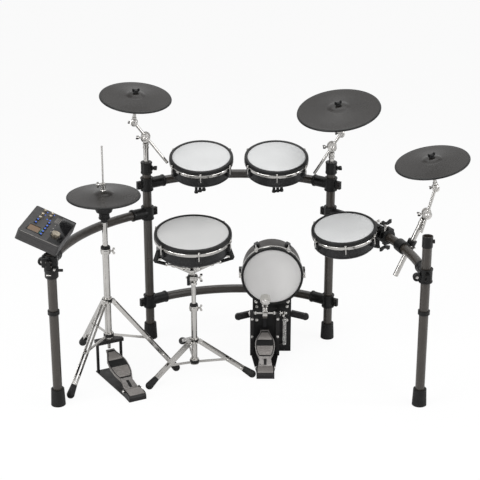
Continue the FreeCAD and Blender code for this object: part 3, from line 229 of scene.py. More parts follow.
def cymbal_rubber():
    # Moulded rubber cymbal: charcoal with fine turned rings that catch the light across them
    material, tree, shader = surface("ringed_cymbal_rubber",
                                     {"IOR": 1.52, "Anisotropic": 0.8, "Specular IOR Level": DULL})
    place = add(tree, "TexCoord")
    # the rings are about 1.5 mm apart, and are drawn 5 mm apart so that they show
    rings = add(tree, "TexWave", {"wave_type": "RINGS", "rings_direction": "Z"},
                {"Scale": WAVE_LENGTH * per_mm(5)}, {"Vector": place.outputs["Object"]})
    cloud = add(tree, "TexNoise", values={"Scale": per_mm(70), "Detail": 2.0},
                links={"Vector": place.outputs["Object"]})
    colour = add(tree, "MixRGB", values={"Color1": hex_linear("221f1c"), "Color2": hex_linear("1a1715")},
                 links={"Fac": cloud.outputs["Fac"]})
    ringed = add(tree, "MixRGB", {"blend_type": "MULTIPLY"}, {"Color2": hex_linear("d0d0d0")},
                 {"Fac": rings.outputs["Fac"], "Color1": colour.outputs["Color"]})
    rough = add(tree, "MapRange", values={"To Min": 0.22, "To Max": 0.3},
                links={"Value": cloud.outputs["Fac"]})
    relief = add(tree, "Bump", values={"Strength": 0.2, "Distance": RIDGE_DEPTH},
                 links={"Height": rings.outputs["Fac"]})
    tangent = add(tree, "Tangent", {"direction_type": "RADIAL", "axis": "Z"})
    tree.links.new(ringed.outputs["Color"], shader.inputs["Base Color"])
    tree.links.new(rough.outputs["Result"], shader.inputs["Roughness"])
    tree.links.new(relief.outputs["Normal"], shader.inputs["Normal"])
    tree.links.new(tangent.outputs["Tangent"], shader.inputs["Tangent"])
    return material


def mesh_head(name, pale, dark):
    # Woven polyester drum head: pale threads with small dark gaps. The threads are 0.5 mm apart, and
    # are drawn 2 mm apart so that they show
    material, tree, shader = surface(name, {"IOR": 1.5, "Roughness": 0.78, "Sheen Weight": 0.2})
    place = add(tree, "TexCoord")
    threads = []
    for way in ("X", "Y"):
        threads.append(add(tree, "TexWave", {"wave_type": "BANDS", "bands_direction": way},
                           {"Scale": WAVE_LENGTH * per_mm(2)}, {"Vector": place.outputs["Object"]}))
    weave = add(tree, "Math", {"operation": "MULTIPLY"},
                links={0: threads[0].outputs["Fac"], 1: threads[1].outputs["Fac"]})
    cloud = add(tree, "TexNoise", values={"Scale": per_mm(120), "Detail": 1.0},
                links={"Vector": place.outputs["Object"]})
    mixed = add(tree, "Math", {"operation": "MULTIPLY_ADD"}, {1: 0.75, 2: 0.12}, {0: weave.outputs[0]})
    colour = add(tree, "MixRGB", values={"Color1": hex_linear(dark), "Color2": hex_linear(pale)},
                 links={"Fac": mixed.outputs[0]})
    worn = add(tree, "MixRGB", {"blend_type": "MULTIPLY"}, {"Color2": hex_linear("f0f0f0")},
               {"Fac": cloud.outputs["Fac"], "Color1": colour.outputs["Color"]})
    relief = add(tree, "Bump", values={"Strength": 0.25, "Distance": RIDGE_DEPTH},
                 links={"Height": weave.outputs[0]})
    tree.links.new(worn.outputs["Color"], shader.inputs["Base Color"])
    tree.links.new(relief.outputs["Normal"], shader.inputs["Normal"])
    return material


def shell_plastic():
    # Injection-moulded shell with a pale fleck in the black
    material, tree, shader = surface("flecked_black_shell", {"IOR": 1.53, "Specular IOR Level": DULL})
    place, colour = mottle(tree, shader, colours=("1f1f20", "141415"), cloud_mm=30, rough=(0.28, 0.4),
                           grain_mm=2.5, bump=0.08)
    fleck = add(tree, "TexVoronoi", values={"Scale": per_mm(5)}, links={"Vector": place.outputs["Object"]})
    dots = add(tree, "MapRange", values={"From Min": 0.1, "From Max": 0.22, "To Min": 0.5, "To Max": 0.0},
               links={"Value": fleck.outputs["Distance"]})
    flecked = add(tree, "MixRGB", values={"Color2": hex_linear("6d6e70")},
                  links={"Fac": dots.outputs["Result"], "Color1": colour.outputs["Color"]})
    tree.links.new(flecked.outputs["Color"], shader.inputs["Base Color"])
    return material


def tower_paint():
    # Stove enamel on sheet steel: even black with a mild gloss
    return mottled("black_stove_enamel", {"IOR": 1.5, "Specular IOR Level": DULL},
                   colours=("191919", "101010"), cloud_mm=50, rough=(0.3, 0.42), grain_mm=2.2, bump=0.1)


def cast_aluminium():
    # Die-cast aluminium under a thin grey lacquer: mid grey with a pebbled skin
    return mottled("tumbled_cast_aluminium", {"Metallic": 0.35},
                   colours=("8f8b88", "6f6b68"), cloud_mm=8, rough=(0.36, 0.5), grain_mm=2.4, bump=0.35)


def dark_cast():
    # The same casting under dark paint
    return mottled("painted_casting", {"IOR": 1.5, "Specular IOR Level": DULL},
                   colours=("1e1d1d", "151414"), cloud_mm=24, rough=(0.36, 0.5), grain_mm=2.0, bump=0.2)


def worn_rim():
    # Bare edge of the casting, rubbed by shoes: paler and smoother than the tread
    return mottled("rubbed_cast_edge", {"Metallic": 0.6},
                   colours=("8b8886", "6d6a68"), cloud_mm=14, rough=(0.3, 0.42), grain_mm=2.0, bump=0.15)


def spring_steel():
    # Bright drawn wire
    return mottled("bright_spring_wire", {"Metallic": 1.0},
                   colours=("c9c8c6", "a9a8a6"), cloud_mm=10, rough=(0.18, 0.3), grain_mm=1.0, bump=0.05)


def felt():
    # Pressed wool felt: soft grey white with loose fibres
    return mottled("pressed_wool_felt", {"Sheen Weight": 0.5, "IOR": 1.5},
                   colours=("b2b0ab", "8e8c87"), cloud_mm=6, rough=(0.85, 0.95), grain_mm=1.2, bump=0.6)


def nylon_strap():
    # Woven nylon strap: black with a coarse, uneven surface
    return mottled("woven_nylon_strap", {"IOR": 1.53, "Specular IOR Level": DULL},
                   colours=("232325", "151516"), cloud_mm=4, rough=(0.6, 0.75), grain_mm=1.4, bump=0.5)


def module_plastic():
    # Moulded ABS case: dark grey with a fine leather-like grain
    return mottled("grained_grey_abs", {"IOR": 1.54, "Specular IOR Level": DULL},
                   colours=("3b3a3a", "2f2e2e"), cloud_mm=40, rough=(0.42, 0.56), grain_mm=1.5, bump=0.3)


def gloss_black():
    # Polished acrylic panel: deep black gloss
    return mottled("polished_black_acrylic", {"IOR": 1.49, "Specular IOR Level": DULL},
                   colours=("141415", "0c0c0d"), cloud_mm=30, rough=(0.08, 0.16), grain_mm=6.0, bump=0.02)


def lit_panel(name, base, glow, strength, cell_mm):
    # Back-lit panel: a grid of small cells of uneven brightness behind clear plastic
    material, tree, shader = surface(name, {"IOR": 1.49, "Roughness": 0.18, "Emission Strength": strength})
    place = add(tree, "TexCoord")
    cells = add(tree, "TexVoronoi", {"distance": "CHEBYCHEV"},
                {"Scale": per_mm(cell_mm), "Randomness": 0.25}, {"Vector": place.outputs["Object"]})
    colour = add(tree, "MixRGB", values={"Color1": hex_linear(glow), "Color2": hex_linear(base)},
                 links={"Fac": cells.outputs["Distance"]})
    tree.links.new(colour.outputs["Color"], shader.inputs["Base Color"])
    tree.links.new(colour.outputs["Color"], shader.inputs["Emission Color"])
    return material


def champagne_metal():
    # Turned aluminium, anodised a pale champagne, with fine lathe marks
    return mottled("champagne_anodised_aluminium", {"Metallic": 0.9},
                   colours=("b0a898", "968d7c"), cloud_mm=8, rough=(0.24, 0.36), grain_mm=0.9, bump=0.12)


def kick_shell():
    # Satin-painted kick shell: warm dark grey, softer than the tower's enamel
    return mottled("satin_painted_shell", {"IOR": 1.5, "Specular IOR Level": DULL},
                   colours=("4d4946", "413d3b"), cloud_mm=60, rough=(0.36, 0.46), grain_mm=2.0, bump=0.08)


def pale_marks_and_painted_highlight():
    # Pale ABS, light warm grey with worn spots: the pale lines and marks on the module's face, and a
    # painted highlight drawn as a pale strip along its front-top edge
    return mottled("pale_grey_abs_and_painted_highlight", {"IOR": 1.54},
                   colours=("a09c98", "85817d"), cloud_mm=12, rough=(0.45, 0.6), grain_mm=1.5, bump=0.2)


finishes = {
    "rack_tube": powder_coat(), "clamp_plastic": moulded_black(), "black_rubber": black_rubber(),
    "chrome": chrome(), "cymbal_rubber": cymbal_rubber(), "rim_rubber": rim_rubber(),
    "mesh_head": mesh_head("woven_polyester_head", "e3e4e4", "c0c1c1"), "shell_plastic": shell_plastic(),
    "kick_steel": tower_paint(), "pedal_metal": cast_aluminium(), "spring_steel": spring_steel(),
    "beater_felt": felt(), "strap_web": nylon_strap(), "module_plastic": module_plastic(),
    "display_glass": lit_panel("back_lit_amber_acrylic", "3a2a18", "6b4f2f", 0.25, 3.0),
    "key_plastic": lit_panel("back_lit_blue_acrylic", "10307c", "2f66d8", 0.45, 4.0),
    "knob_metal": champagne_metal(), "satin_chrome": satin_chrome(), "dark_cast": dark_cast(),
    "gloss_black": gloss_black(),
    "teal_strip": lit_panel("back_lit_teal_acrylic", "0b3a3a", "1f6a64", 0.25, 3.0),
    # painted shade: the snare head is the same woven head, drawn darker to stand in for the shade it sits
    # in
    "snare_head": mesh_head("woven_polyester_head_painted_shade", "d6d6d4", "b2b2b2"),
    # painted light: the kick head is the same woven head, drawn paler to make up for the weaker light on
    # its upright face
    "kick_mesh": mesh_head("woven_polyester_head_painted_light", "ecebea", "d2d1d0"),
    "kick_shell": kick_shell(), "pale_marks_and_painted_highlight": pale_marks_and_painted_highlight(), "worn_rim": worn_rim(),
    "black_bolt": black_oxide(),
}
# Finishes that vary a slot of the record
# Nodes whose finish varies their slot of the record
NODE_FINISH = {
    "kick_pedal_frame": "dark_cast", "hihat_pedal_frame": "dark_cast", "module_keys": "gloss_black",
}


# Making pieces

CORE = 0.01   # radius at which a turned solid ends beside its axis, in millimetres
WELD = 0.0005   # points closer than this become one, in millimetres
EDGE_PROFILE = 0.6   # of a bevel, a little fuller than the round edge of 0.5
BAR_LEAD = Vector((0.31, 0.22, 0.92))   # a way that no round bar runs along


def make(name, work, finish, body, where, smooth_angle=38):
    """Piece from work in millimetres, set in place, finished, and riding on its body if it has one."""
    mesh = bpy.data.meshes.new(name)
    bmesh.ops.recalc_face_normals(work, faces=work.faces)
    work.to_mesh(mesh)
    work.free()
    mesh.transform(where.to_3x3().to_4x4() @ Matrix.Scale(0.001, 4))
    for face in mesh.polygons:
        face.use_smooth = True
    piece = bpy.data.objects.new(name, mesh)
    bpy.context.scene.collection.objects.link(piece)
    piece.matrix_world = Matrix.Translation(where.to_translation())
    mesh.materials.append(finishes[finish])
    mesh.set_sharp_from_angle(angle=math.radians(smooth_angle))
    if body:
        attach(piece, body)
    return piece


def lathe(work, profile, steps=48, place=HERE):
    """Turn a profile of (radius, height) points about local Z."""
    rings = []
    for step in range(steps):
        turn = place @ turn_z(360 * step / steps)
        rings.append([work.verts.new(turn @ Vector((r, 0, z))) for r, z in profile])
    count = len(profile)
    for step in range(steps):
        ring = rings[step]
        following = rings[(step + 1) % steps]
        for i in range(count):
            j = (i + 1) % count
            work.faces.new((ring[i], following[i], following[j], ring[j]))
    bmesh.ops.remove_doubles(work, verts=[v for ring in rings for v in ring], dist=WELD)


def slab(work, size, place=HERE, bevel=0.8, steps=2):
    """Box with rounded edges."""
    made = bmesh.ops.create_cube(work, size=1.0, matrix=place @ Matrix.Diagonal((*size, 1.0)))
    edges = list(dict.fromkeys(edge for vert in made["verts"] for edge in vert.link_edges))
    bmesh.ops.bevel(work, geom=edges, offset=bevel, segments=steps, profile=EDGE_PROFILE, affect="EDGES")


def plate(work, outline, low, high, place=HERE, bevel=0.6):
    """Flat outline in local XY with thickness, its rims rounded."""
    bottom = [work.verts.new(place @ Vector((x, y, low))) for x, y in outline]
    top = [work.verts.new(place @ Vector((x, y, high))) for x, y in outline]
    faces = [work.faces.new(list(reversed(bottom))), work.faces.new(top)]
    count = len(outline)
    for i in range(count):
        j = (i + 1) % count
        work.faces.new((bottom[i], bottom[j], top[j], top[i]))
    if bevel:
        edges = list(dict.fromkeys(edge for face in faces for edge in face.edges))
        bmesh.ops.bevel(work, geom=edges, offset=bevel, segments=2, profile=EDGE_PROFILE, affect="EDGES")


def tube(work, points, radius, sides=12):
    """Round bar along points."""
    rings = []
    count = len(points)
    for i, point in enumerate(points):
        ahead = points[min(i + 1, count - 1)] - points[max(i - 1, 0)]
        side = ahead.cross(BAR_LEAD).normalized()
        over = side.cross(ahead).normalized()
        turns = [2 * math.pi * k / sides for k in range(sides)]
        rings.append([work.verts.new(point + side * (radius * math.cos(turn))
                                     + over * (radius * math.sin(turn))) for turn in turns])
    for ring, following in zip(rings, rings[1:]):
        for k in range(sides):
            j = (k + 1) % sides
            work.faces.new((ring[k], ring[j], following[j], following[k]))
    work.faces.new(rings[0])
    work.faces.new(list(reversed(rings[-1])))


def rounded(points, share=0.3, steps=5):
    """Path with its corners rounded off."""
    out = [points[0]]
    for before, corner, after in zip(points, points[1:], points[2:]):
        start = corner.lerp(before, share)
        end = corner.lerp(after, share)
        for k in range(steps + 1):
            t = k / steps
            out.append(start.lerp(corner, t).lerp(corner.lerp(end, t), t))
    return out + [points[-1]]


def smooth_line(points, steps):
    """Smooth line through points."""
    out = []
    padded = [points[0]] + list(points) + [points[-1]]
    for a, b, c, d in zip(padded, padded[1:], padded[2:], padded[3:]):
        for k in range(steps):
            t = k / steps
            out.append(tuple(0.5 * (2 * q + (r - p) * t + (2 * p - 5 * q + 4 * r - s) * t * t
                                    + (3 * q - p - 3 * r + s) * t ** 3) for p, q, r, s in zip(a, b, c, d)))
    return out + [tuple(points[-1])]


def ring(work, inner, outer, low, high, place=HERE, steps=40, ease=1.0):
    """Band round local Z with eased outer edges."""
    lathe(work, [(inner, low), (outer - ease, low), (outer, low + ease), (outer, high - ease),
                 (outer - ease, high), (inner, high)], steps, place)


def button(work, radius, low, high, place=HERE, steps=32, ease=1.0):
    """Round head on local Z with an eased edge."""
    ring(work, CORE, radius, low, high, place, steps, ease)


def wing(work, place, reach=16, span=34):
    """Hand screw with two wings; local Z points out of what it is screwed into."""
    lathe(work, [(CORE, 0), (4, 0), (4, reach * 0.5), (6, reach * 0.6), (6, reach), (4.5, reach + 2),
                 (CORE, reach + 2)], 20, place)
    half = span / 2
    outline = [(-half, reach * 0.8), (-half * 0.95, reach * 1.45), (-half * 0.55, reach * 1.5),
               (-3, reach * 1.05), (3, reach * 1.05), (half * 0.55, reach * 1.5),
               (half * 0.95, reach * 1.45), (half, reach * 0.8), (half * 0.4, reach * 0.55),
               (-half * 0.4, reach * 0.55)]
    plate(work, outline, -2.2, 2.2, place @ TO_FRONT, 0.9)


def wing_tips(work, place, reach=16, span=34):
    """Dipped ends of a wing screw's wings."""
    for side in (-1, 1):
        slab(work, (span * 0.2, 6.2, reach * 0.75), place @ shift(side * span * 0.4, 0, reach * 1.12), 1.8)


def hex_bolt(work, place, across=9.0, height=5.0):
    """Hexagon bolt head on its washer; local Z points out."""
    outline = [tuple(polar(across / 2 / math.cos(math.pi / 6), 60 * k))[:2] for k in range(6)]
    plate(work, outline, 1.2, height, place, 0.7)
    button(work, across * 0.75, 0, 1.4, place, 20, 0.4)


def rivet(work, place, radius=4.4, rise=2.4):
    """Domed rivet head; local Z points out."""
    lathe(work, [(CORE, rise), (radius * 0.45, rise * 0.9), (radius * 0.8, rise * 0.55), (radius, 0),
                 (CORE, 0)], 16, place)


def toothed(outer, inner, count):
    """Outline of a toothed disc."""
    return [tuple(polar(outer if k % 4 < 2 else inner, 90 * k / count))[:2] for k in range(4 * count)]


# Rack

CLAMP_R = TUBE_R + 7
CLAMP_BAND_RISE = 26
EAR_BOLT_OUT = 39
EAR_BOLT_RISE = 9
EAR_HALF = 7.5
MOUTH_OUT = 80


def clamp_trim(name, body, post, out_dir, mouth_rise=0.0):
    """Bolts through a clamp's ear, its rim bands, its hinge rib and the mouth of its socket."""
    ear = seat(post, out_dir, UP)
    bolts = bmesh.new()
    for side in (-1, 1):
        for height in (-EAR_BOLT_RISE, EAR_BOLT_RISE):
            hex_bolt(bolts, shift(EAR_BOLT_OUT, side * EAR_HALF, height) @ to_side(side), 7.5, 4.5)
    make(name + "_bolts", bolts, "black_bolt", body, ear)
    bands = bmesh.new()
    for z in (-CLAMP_BAND_RISE, CLAMP_BAND_RISE):
        lathe(bands, [(CLAMP_R - 1, z - 3), (CLAMP_R + 1.6, z - 3), (CLAMP_R + 2.2, z),
                      (CLAMP_R + 1.6, z + 3), (CLAMP_R - 1, z + 3)], 40)
    slab(bands, (7, 20, 44), shift(-CLAMP_R - 1, 0, 0), 2.0)
    ring(bands, TUBE_R + 0.4, TUBE_R + 7.2, -5, 5, shift(-MOUTH_OUT, 0, mouth_rise) @ TO_RIGHT, 40, 2.0)
    make(name + "_bands", bands, "clamp_plastic", body, ear)


REAR_CLAMP_HEIGHTS = (733, 181)
WING_REAR_CLAMP_Z = 600
# Side, name, height of the front clamp and fall of the arm at its mouth
WINGS = ((-1, "left", 636, -4), (1, "right", 576, 3))


def dress_clamps():
    for side, name, front_z, fall in WINGS:
        rear = (side * REAR_POST_X, RACK_DEPTH)
        front = (side * FRONT_POST_X, 0)
        inward = polar(1, 0 if side < 0 else 180)
        rear_turn = Matrix.Rotation(math.radians(-side * REAR_CLAMP_TURN), 3, "Z") @ inward
        for z in REAR_CLAMP_HEIGHTS:
            clamp_trim("rear_%s_clamp_%d" % (name, z), "rack_and_stands", spot(*rear, z), -rear_turn)
        chord = Vector((rear[0] - front[0], rear[1] - front[1], 0)).normalized()
        bend = math.radians(WING_CLAMP_TURN)
        from_front = Matrix.Rotation(-side * bend, 3, "Z") @ chord
        from_rear = Matrix.Rotation(side * bend, 3, "Z") @ -chord
        clamp_trim(name + "_wing_front_clamp", name + "_wing", spot(*front, front_z), -from_front, fall)
        rear_spot = spot(*rear, WING_REAR_CLAMP_Z)
        clamp_trim(name + "_wing_rear_clamp", name + "_wing", rear_spot, -from_rear, -fall)


def clamp_loop(name, body, at, reach):
    """Hinge loop with its pale bolt beside a front clamp, and the arm that holds it."""
    place = shift(*at) @ TO_FRONT
    loop = bmesh.new()
    ring(loop, 8.5, 17, -9, 9, place, 36, 2.5)
    slab(loop, (abs(reach), 15, 14), place @ shift(reach / 2, 0, 0), 2.5)
    make(name + "_loop", loop, "clamp_plastic", body, PLAN)
    bolt = bmesh.new()
    button(bolt, 7.6, -8, 6.5, place, 24, 1.5)
    hex_bolt(bolt, place @ shift(0, 0, 6), 8.5, 5)
    make(name + "_loop_bolt", bolt, "satin_chrome", body, PLAN)


LEFT_LOOP_AT = (-FRONT_POST_X - 33, -12, 640)
RIGHT_LOOP_AT = (FRONT_POST_X - 36, -10, 572)
LOOP_REACH = 26
SHOULDER_Z = 566
RIGHT_BOLT_Z = 562


def dress_front_posts():
    """Hinge loops, shoulder, lever and bolts of the front clamps."""
    clamp_loop("left_front", "left_wing", LEFT_LOOP_AT, LOOP_REACH)
    clamp_loop("right_front", "right_wing", RIGHT_LOOP_AT, LOOP_REACH)
    shoulder = bmesh.new()
    post = shift(-FRONT_POST_X, 0, SHOULDER_Z)
    lathe(shoulder, [(TUBE_R + 0.4, 0), (25, 0), (27.5, 4), (27.5, 24), (29, 28), (29, 40),
                     (TUBE_R + 0.4, 40)], 44, post)
    slab(shoulder, (64, 40, 46), post @ shift(-4, -6, 72), 8.0, 3)
    make("left_front_clamp_shoulder", shoulder, "clamp_plastic", "left_wing", PLAN)
    lever = bmesh.new()
    hub = post @ shift(16, -28, 46) @ TO_FRONT
    button(lever, 9, -12, 6, hub, 28, 2.0)
    slab(lever, (44, 11, 8), hub @ shift(12, -3, 2), 2.6, 3)
    make("left_front_clamp_lever", lever, "black_rubber", "left_wing", PLAN)
    pale = bmesh.new()
    hex_bolt(pale, hub @ shift(0, 0, 6), 6.5, 4.5)
    slab(pale, (20, 6, 5), post @ shift(-8, -27, 20), 1.8, 3)
    make("left_front_clamp_bolts", pale, "satin_chrome", "left_wing", PLAN)
    pale = bmesh.new()
    hex_bolt(pale, shift(FRONT_POST_X, -26.3, RIGHT_BOLT_Z) @ TO_FRONT, 7, 4.5)
    make("right_front_clamp_bolts", pale, "satin_chrome", "right_wing", PLAN)


COLLAR_SCREW_Z = 804
COLLAR_BEADS = (785, 829)
COLLAR_R = 23.4


def dress_rear_collars():
    """Beads and a bar handle on the collars at the rear posts' tops."""
    beads = bmesh.new()
    handles = bmesh.new()
    for side in (-1, 1):
        post = shift(side * REAR_POST_X, RACK_DEPTH, 0)
        for z in COLLAR_BEADS:
            ring(beads, COLLAR_R, COLLAR_R + 2, z - 3.5, z + 3.5, post, 40, 1.6)
        screw = post @ shift(0, 0, COLLAR_SCREW_Z) @ TO_RIGHT
        ring(beads, 7, 11, 23, 28, screw, 28, 1.2)
        button(handles, 9.5, 30, 41, screw, 28, 2.0)
        slab(handles, (11, 32, 9), screw @ shift(0, 0, 41), 3.0, 3)
    make("rear_collar_beads", beads, "clamp_plastic", "rack_and_stands", PLAN)
    make("rear_collar_handles", handles, "black_rubber", "rack_and_stands", PLAN)


def mount_trim(name, body, at, along):
    """Bands, hand-screw heads and top wing of a tom's clamp on its bar."""
    sleeve = seat(Vector(at), UP, along)
    bands = bmesh.new()
    for end in (-20, 20):
        ring(bands, TUBE_R + 6, TUBE_R + 10, end - 4, end + 4, sleeve, 40, 1.8)
    slab(bands, (30, 26, 34), sleeve @ shift(14, 0, 0), 4.0, 3)
    for step, drop in ((-17, 81), (0, 77), (17, 73)):
        foot = shift(*(Vector(at) + Vector(along) * step - UP * drop))
        lathe(bands, [(CORE, -0.5), (7.5, -0.5), (9, 1.5), (9, 8), (7, 11), (6.6, 16), (CORE, 16)],
              20, foot)
    make(name + "_mount_bands", bands, "clamp_plastic", body, PLAN)
    screws = bmesh.new()
    wing(screws, shift(*(Vector(at) + UP * 27)) @ turn_z(25), 13, 36)
    hex_bolt(screws, shift(*at) @ shift(0, -27.5, 2) @ TO_FRONT, 9, 5)
    make(name + "_mount_screws", screws, "chrome", body, PLAN)


TOM_MOUNT_AT = (170.9, 737.9, 733)
FLOOR_TOM_MOUNT_AT = (580.4, 440.4, 591.5)
FLOOR_TOM_CLAMP_AT = (616, 388.5, 589.4)


def dress_mounts():
    out, back, high = TOM_MOUNT_AT
    for side, name in ((-1, "left_tom"), (1, "right_tom")):
        mount_trim(name, "rack_and_stands", (side * out, back, high), (0.967, -side * 0.255, 0))
    mount_trim("floor_tom", "right_wing", FLOOR_TOM_MOUNT_AT, (0.578, -0.815, -0.033))
    dress_floor_tom_clamp()


def dress_floor_tom_clamp():
    """Bulky clamp with two large wings and a lever, on the right arm beside the floor tom."""
    along = Vector((0.53, -0.847, -0.035))
    arm = seat(Vector(FLOOR_TOM_CLAMP_AT), UP, along)
    work = bmesh.new()
    ring(work, TUBE_R + 0.3, 30, -27, 27, arm, 44, 4.0)
    for end in (-21, 0, 21):
        ring(work, 28, 32.5, end - 4, end + 4, arm, 44, 2.0)
    slab(work, (54, 34, 44), arm @ shift(4, -12, 0), 6.0, 3)
    for flip in (TO_RIGHT, TO_LEFT):
        knob = arm @ flip
        button(work, 13, 26, 40, knob, 32, 2.5)
        wing(work, knob @ shift(0, 0, 34) @ turn_z(90), 24, 54)
    make("floor_tom_arm_clamp", work, "clamp_plastic", "right_wing", PLAN)
    lever = bmesh.new()
    button(lever, 6.5, 26, 52, arm @ shift(0, 14, 10) @ TO_RIGHT, 24, 1.5)
    slab(lever, (8, 10, 46), arm @ shift(52, 14, 0), 2.8, 3)
    hex_bolt(lever, arm @ shift(0, -30, 0) @ TO_FRONT, 10, 6)
    make("floor_tom_arm_lever", lever, "satin_chrome", "right_wing", PLAN)


# Boom stands: ratchet, rise to the tilter, lean of the stem, way of the tube

BOOMS = {
    "left": ((-397, 630, 947), (-46, 0, 69), (0.09, -0.145, 1), (0, 0, 1)),
    "middle": ((397, 630, 905), (37, 0, 62), (-0.13, -0.217, 1), (0, 0, 1)),
    "right": ((769, 292, 728), (29, 0, 117), (-0.18, -0.108, 1), (116, 0, 280)),
}
STEM_REACH = 130.6
RATCHET_TEETH = toothed(20.4, 18.9, 30)
TILTER_TEETH = toothed(15.8, 14.4, 24)
LOW_WING = (15, 36)   # reach and span
HIGH_WING = (9, 24)
BASE_RINGS = (34, 49)   # down the tube from the ratchet
ROD_PLANE = Vector((0, -22, 0))
BOOM_WING_AT = (710, 273, 586)   # on the clamp that holds the right boom's tube
BOOM_BOLT_AT = (672, 248, 585)


def dress_boom(name, ratchet, rise, lean, tube_way):
    """Ratchet with its teeth, caps and wing screw, the tilter above it, and the tube's band."""
    gear = shift(*ratchet) @ TO_FRONT
    way = Vector(tube_way).normalized()
    base = bmesh.new()
    plate(base, RATCHET_TEETH, -6.0, -0.8, gear, 0.3)
    button(base, 12.5, -19.5, -13, gear, 32, 2.5)
    for down in BASE_RINGS:
        ring(base, 10.4, 13.2, -5, 5, seat(Vector(ratchet) - way * down, ALONG_Y, way), 32, 1.5)
    make(name + "_boom_ratchet_base", base, "chrome", name + "_boom", PLAN)
    cover = bmesh.new()
    plate(cover, RATCHET_TEETH, 0.8, 6.0, gear, 0.3)
    lathe(cover, [(CORE, 37), (5, 37), (6.5, 35.4), (8, 34.2), (14, 33.8), (18.2, 32.6), (19.5, 30.5),
                  (19.5, 22), (CORE, 22)], 48, gear)
    head = Vector(ratchet) + ROD_PLANE + Vector(rise)
    tilter = shift(*head) @ TO_FRONT
    for flip in (1, -1):
        lathe(cover, [(CORE, flip * 17), (4, flip * 17), (5, flip * 15.6), (12, flip * 15),
                      (15.2, flip * 13), (15.2, flip * 6), (CORE, flip * 6)], 40, tilter)
    plate(cover, TILTER_TEETH, -3, 3, tilter, 0.3)
    ring(cover, 9.2, 11.4, 33.4, 34.8, gear, 40, 0.4)
    ring(cover, 6.8, 8.6, 15, 16.4, tilter, 36, 0.4)
    low_wing = gear @ shift(-17, 0, 17) @ TO_LEFT
    high_wing = tilter @ shift(-12.5, 0, 0) @ TO_LEFT
    wing(cover, low_wing, *LOW_WING)
    wing(cover, high_wing, *HIGH_WING)
    stem = Vector(lean).normalized()
    ring(cover, 6.5, 9.5, 16, 26, seat(head, ALONG_X, stem), 28, 1.5)
    make(name + "_boom_ratchet_cover", cover, "satin_chrome", name + "_boom_tilt", PLAN)
    dark = bmesh.new()
    wing_tips(dark, low_wing, *LOW_WING)
    wing_tips(dark, high_wing, *HIGH_WING)
    ring(dark, 6.5, 11, 100, 118, seat(head, ALONG_X, stem), 28, 2.0)
    make(name + "_boom_dark_trim", dark, "black_rubber", name + "_boom_tilt", PLAN)


def dress_booms():
    for name, sizes in BOOMS.items():
        dress_boom(name, *sizes)
    screw = bmesh.new()
    wing(screw, shift(*BOOM_WING_AT) @ TO_FRONT, 14, 34)
    hex_bolt(screw, shift(*BOOM_BOLT_AT) @ TO_FRONT, 9, 5)
    make("right_boom_clamp_screws", screw, "chrome", "right_wing", PLAN)


# Drum pads

TOM_OUT = 160
TOM_BACK = 588
TOM_TOP = 870
TOM_LEAN = (0, -0.213, 1)
TOM_LUG_TURN = 30
FLOOR_TOM_AT = (437, 345, 640)
FLOOR_TOM_LEAN = (-0.09, -0.15, 1)
FLOOR_TOM_WAY = (0.47, -0.88, 0)   # of its local X
SNARE_LEAN = (0, -0.12, 1)
SNARE_LUG_TURN = 40
MOUNT_LUG = {"floor_tom": 1}   # the lug that faces the mount on the arm
# Where the head's middle is, rim radius, turn of the first lug, body
DRUMS = {
    "left_tom": (seat(spot(-TOM_OUT, TOM_BACK, TOM_TOP), ALONG_X, TOM_LEAN), TOM_RIM_R, TOM_LUG_TURN,
                 "left_tom"),
    "right_tom": (seat(spot(TOM_OUT, TOM_BACK, TOM_TOP), ALONG_X, TOM_LEAN), TOM_RIM_R, TOM_LUG_TURN,
                  "right_tom"),
    "floor_tom": (seat(spot(*FLOOR_TOM_AT), FLOOR_TOM_WAY, FLOOR_TOM_LEAN), TOM_RIM_R, TOM_LUG_TURN,
                  "floor_tom"),
    "snare": (seat(spot(*SNARE_AT), ALONG_X, SNARE_LEAN), SNARE_RIM_R, SNARE_LUG_TURN, "snare_drum"),
}


def dress_head(name, body, where, shell_r):
    """Mesh head with a slight crown, rolled over the shell's edge."""
    work = bmesh.new()
    lathe(work, [(CORE, 0.5), (shell_r * 0.5, 0.4), (shell_r * 0.85, 0.15), (shell_r - 3, 0),
                 (shell_r + 0.9, -0.6), (shell_r + 1.5, -2), (shell_r + 1.5, -9), (shell_r + 0.4, -9),
                 (shell_r + 0.4, -1.4), (shell_r - 3, -1), (CORE, -0.6)], 96)
    head = make(name + "_mesh", work, "snare_head" if name == "snare" else "mesh_head", body, where, 50)
    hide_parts(name + "_head")


